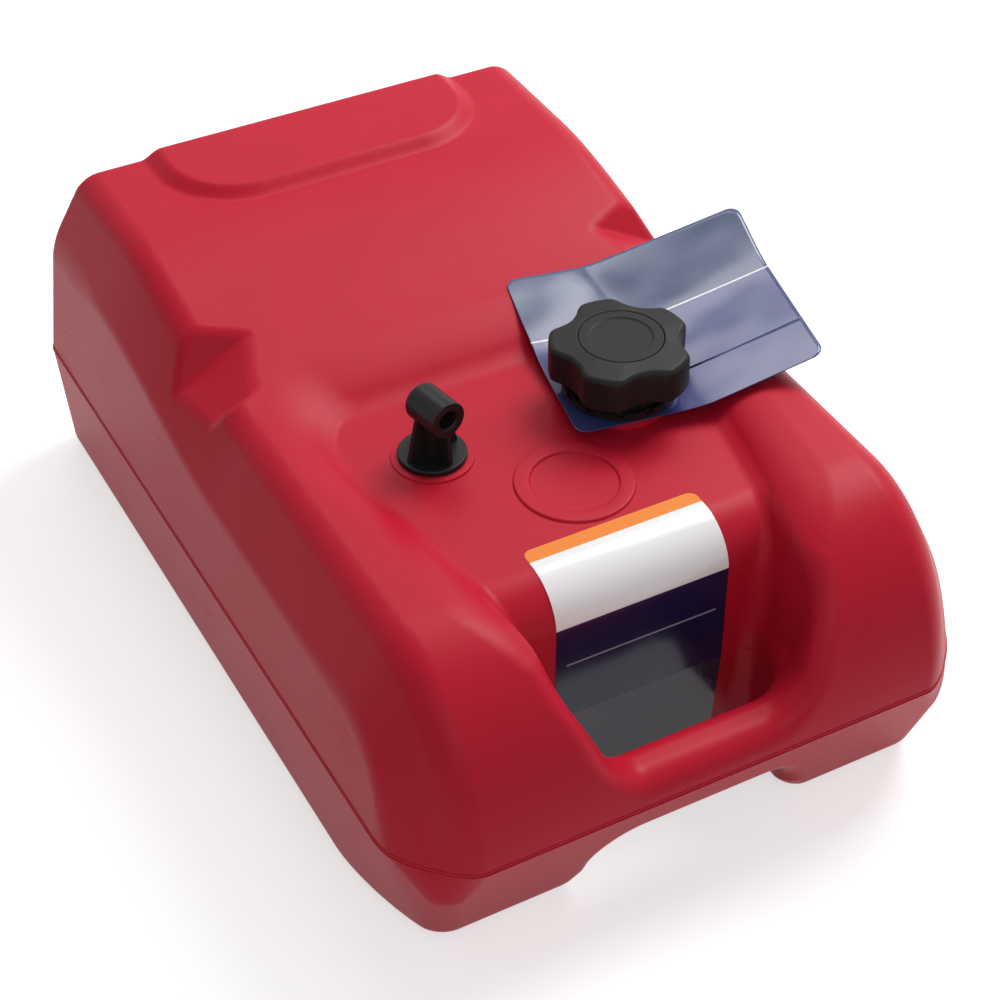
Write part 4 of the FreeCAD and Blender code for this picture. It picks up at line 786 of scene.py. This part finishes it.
def cardHeight(x, y):
    edge = wellBack + (deckHeight(wellBack) - wellFloor(wellBack)) * well["backFlare"]  # the well's back edge
    rise = deckHeight(edge) + card["gap"] - cardFloor
    height = cardFloor + rise / bend(edge - capY - card["deckBend"]) * bend(y - capY - card["deckBend"])
    lead = capY + card["shift"][1] - card["cadDepth"] / 2
    share = (lead - gripWall) / (wellBack - well["straight"] - gripWall)
    half = well["gripHalfWidth"] + (well["halfWidth"] - well["gripHalfWidth"]) * share
    edge = half + (rail - wellFloor(lead)) * well["flare"]  # the side rail's edge
    rise = rail + card["gap"] - cardFloor
    height = height + rise / bend(edge - capX - card["railBend"]) * bend(x - capX - card["railBend"])
    return height + card["lean"][0] * (x - capX) + card["lean"][1] * (y - capY)


def cardOutline(x, y, z):
    turn = math.radians(card["turn"])
    x, y = x - capX - card["shift"][0], y - capY - card["shift"][1]
    u, v = x * math.cos(turn) + y * math.sin(turn), y * math.cos(turn) - x * math.sin(turn)
    (left, near), (right, far) = card["low"], card["high"]
    a = np.abs(u - (left + right) / 2) - (right - left) / 2 + card["cornerR"]
    b = np.abs(v - (near + far) / 2) - (far - near) / 2 + card["cornerR"]
    return np.hypot(np.maximum(a, 0), np.maximum(b, 0)) + np.minimum(np.maximum(a, b), 0) - card["cornerR"]


def neckCard():  # rings of points from the hole to the edge, parted along the slit
    spokes, rings = card["spokes"], card["rings"]
    angles = np.arange(spokes + 1) * 2 * math.pi / spokes
    turn = math.radians(card["turn"])
    hole = card["holeR"] * np.stack([np.cos(angles + turn), np.sin(angles + turn)], 1)
    edge = outline(cardOutline, (capX, capY), 0, card["reach"], spokes, turn)[:, :2] - (capX, capY)
    edge = np.concatenate([edge, edge[:1]])
    share = np.linspace(0, 1, rings)[:, None]
    flat = hole + (edge - hole) * share[:, :, None]
    fan = card["slitFan"]
    side = np.maximum(1 - angles / fan, 0) - np.maximum(1 - (2 * math.pi - angles) / fan, 0)
    opening = card["slit"] / 2 * np.maximum(1 - share / card["slitEnd"], 0) + card["slitShut"]
    x = capX + flat[:, :, 0] - side * opening * math.sin(turn)
    y = capY + flat[:, :, 1] + side * opening * math.cos(turn)
    z = cardHeight(x, y)
    step = card["slopeStep"]
    across, along = cardHeight(x + step, y) - z, cardHeight(x, y + step) - z
    normal = np.stack([-across / step, -along / step, np.ones_like(z)], 2)
    normal *= card["thickness"] / np.linalg.norm(normal, axis=2)[:, :, None]
    lower = np.stack([x, y, z], 2)
    points = np.concatenate([lower.reshape(-1, 3), (lower + normal).reshape(-1, 3)])
    number = np.arange(2 * rings * (spokes + 1)).reshape(2, rings, spokes + 1)

    def quads(a, b, c, d):
        return np.stack([a, b, c, d], -1).reshape(-1, 4)

    under, over = number
    sheet = np.concatenate([quads(over[:-1, :-1], over[1:, :-1], over[1:, 1:], over[:-1, 1:]),
                            quads(under[:-1, :-1], under[:-1, 1:], under[1:, 1:], under[1:, :-1])])
    rim = np.concatenate([quads(over[0, :-1], over[0, 1:], under[0, 1:], under[0, :-1]),
                          quads(under[-1, :-1], under[-1, 1:], over[-1, 1:], over[-1, :-1]),
                          quads(over[:-1, 0], under[:-1, 0], under[1:, 0], over[1:, 0]),
                          quads(over[:-1, -1], over[1:, -1], under[1:, -1], under[:-1, -1])])
    piece = meshPiece("neckCard", points, np.concatenate([sheet, rim]))
    piece.data.polygons.foreach_set("use_smooth", [True] * len(sheet) + [False] * len(rim))
    return piece


cardFloor = capFloor + card["rise"]
finishOf(neckCard(), cardPrint, "tank", "neck_card", "neck_card")

rubberLook = {"colour": (0.018, 0.018, 0.019), "tone": (0.032, 0.031, 0.030), "rough": 0.62, "grain": 3000,
              "depth": 0.00004, "waves": 80, "waveDepth": 0.0001}
tubeLook = {"colour": (0.42, 0.40, 0.33), "tone": (0.50, 0.47, 0.40), "rough": 0.30, "grain": 1500,
            "depth": 0.00002, "waves": 60, "waveDepth": 0.0001,
            "shader": {"Subsurface Weight": 0.2, "Subsurface Scale": 0.002}}
strainerLook = {"colour": (0.60, 0.59, 0.55), "tone": (0.68, 0.67, 0.63), "rough": 0.42, "grain": 2200,
                "depth": 0.00003, "waves": 70, "waveDepth": 0.0001}
meshLook = {"colour": (0.42, 0.42, 0.43), "tone": (0.55, 0.55, 0.56), "rough": 0.35, "grain": 5200,
            "depth": 0.00008, "waves": 90, "waveDepth": 0.00005, "shader": {"Metallic": 1.0}}
valveLook = {"colour": (0.13, 0.13, 0.135), "tone": (0.17, 0.17, 0.175), "rough": 0.36, "grain": 2400,
             "depth": 0.00003, "waves": 80, "waveDepth": 0.0001}
poppetLook = {**valveLook, "colour": (0.06, 0.13, 0.30), "tone": (0.08, 0.17, 0.36), "rough": 0.33}
sealLook = {"colour": (0.11, 0.055, 0.03), "tone": (0.15, 0.075, 0.04), "rough": 0.55, "grain": 3000,
            "depth": 0.00004, "waves": 90, "waveDepth": 0.0001}
springLook = {"colour": (0.50, 0.50, 0.51), "tone": (0.62, 0.62, 0.63), "rough": 0.24, "grain": 4200,
              "depth": 0.00002, "waves": 90, "waveDepth": 0.00005, "shader": {"Metallic": 1.0}}
rubber = finish("gasketRubber", rubberLook)
tubeNatural = finish("tubeNylon", tubeLook)
strainerWhite = finish("strainerNylon", strainerLook)
meshSteel = finish("strainerSteel", meshLook)
valveGrey = finish("valveAcetal", valveLook)
poppetBlue = finish("poppetAcetal", poppetLook)
sealBrown = finish("sealFluoroRubber", sealLook)
springSteel = finish("springSteel", springLook)
# the frame's own nodes and their finishes
kept = {"outlet_fitting": fittingBlack, "port_gasket": rubber, "pickup_tube": tubeNatural,
        "pickup_strainer": strainerWhite, "strainer_mesh": meshSteel, "front_label": labelPrint,
        "cap_gasket": rubber, "cap_core": coreBlack, "ratchet_pawl_ring": strainerWhite,
        "cap_top_plug": capBlack, "valve_body": valveGrey, "vacuum_poppet": poppetBlue,
        "poppet_seal": sealBrown, "spring_retainer": valveGrey, "vacuum_spring": springSteel,
        "vent_screen": meshSteel}
for name, material in kept.items():
    for place in nodes[name].material_slots:
        place.material = material
print("kept nodes finished", len(kept))

view = {"eye": (-0.4780, -0.9133, 0.9457), "aim": (0.0078, -0.0114, 0.0727), "lens": 81.5}
studio = {"floorHalf": 4, "floorTone": (0.64, 0.64, 0.64), "floorRough": 0.9, "floorGlow": 0.6, "sky": 0.30}
lamps = {"rightKey": {"place": (1.25, 0.45, 1.75), "power": 36, "size": 1.1},
         "cardStrip": {"place": (0.25, 1.15, 2.0), "power": 8, "size": 0.7},
         "frontFill": {"place": (-0.5, -2.0, 1.5), "power": 7, "size": 1.4}}
lampAim = (0, 0, 0.1)

camera = bpy.data.objects.new("camera", bpy.data.cameras.new("camera"))
bpy.context.scene.collection.objects.link(camera)
camera.location = view["eye"]
camera.rotation_euler = (Vector(view["aim"]) - Vector(view["eye"])).to_track_quat("-Z", "Y").to_euler()
camera.data.lens = view["lens"]
bpy.context.scene.camera = camera


def seenDirectly(tree):  # by the camera, or in a reflection
    ray = put(tree, "ShaderNodeLightPath").outputs
    return sums(tree, "MAXIMUM", sums(tree, "MAXIMUM", ray["Is Camera Ray"], ray["Is Glossy Ray"]),
                ray["Is Transmission Ray"])


reach = studio["floorHalf"]
floor = meshPiece("floor", [(-reach, -reach, 0), (reach, -reach, 0), (reach, reach, 0), (-reach, reach, 0)],
                  [(0, 1, 2, 3)], smooth=False)
pale = bpy.data.materials.new("paleFloor")
pale.use_nodes = True
shader = pale.node_tree.nodes["Principled BSDF"]
shader.inputs["Base Color"].default_value = (*studio["floorTone"], 1)
shader.inputs["Roughness"].default_value = studio["floorRough"]
shader.inputs["Emission Color"].default_value = (1, 1, 1, 1)
glow = sums(pale.node_tree, "MULTIPLY", seenDirectly(pale.node_tree), studio["floorGlow"])
pale.node_tree.links.new(glow, shader.inputs["Emission Strength"])
floor.data.materials.append(pale)

world = bpy.data.worlds.new("world")
bpy.context.scene.world = world
world.use_nodes = True
tree = world.node_tree
strength = put(tree, "ShaderNodeMix", {0: seenDirectly(tree), 2: studio["sky"], 3: 1.0},
               data_type="FLOAT").outputs[0]
tree.nodes["Background"].inputs["Color"].default_value = (1, 1, 1, 1)
tree.links.new(strength, tree.nodes["Background"].inputs["Strength"])


def lamp(name, place, power, size):
    light = bpy.data.lights.new(name, "AREA")
    light.energy = power
    light.size = size
    piece = bpy.data.objects.new(name, light)
    bpy.context.scene.collection.objects.link(piece)
    piece.location = place
    piece.rotation_euler = (Vector(lampAim) - Vector(place)).to_track_quat("-Z", "Y").to_euler()


for name, settings in lamps.items():
    lamp(name, **settings)
print("stage and lamps", len(lamps))
bpy.context.scene.view_settings.view_transform = "Standard"
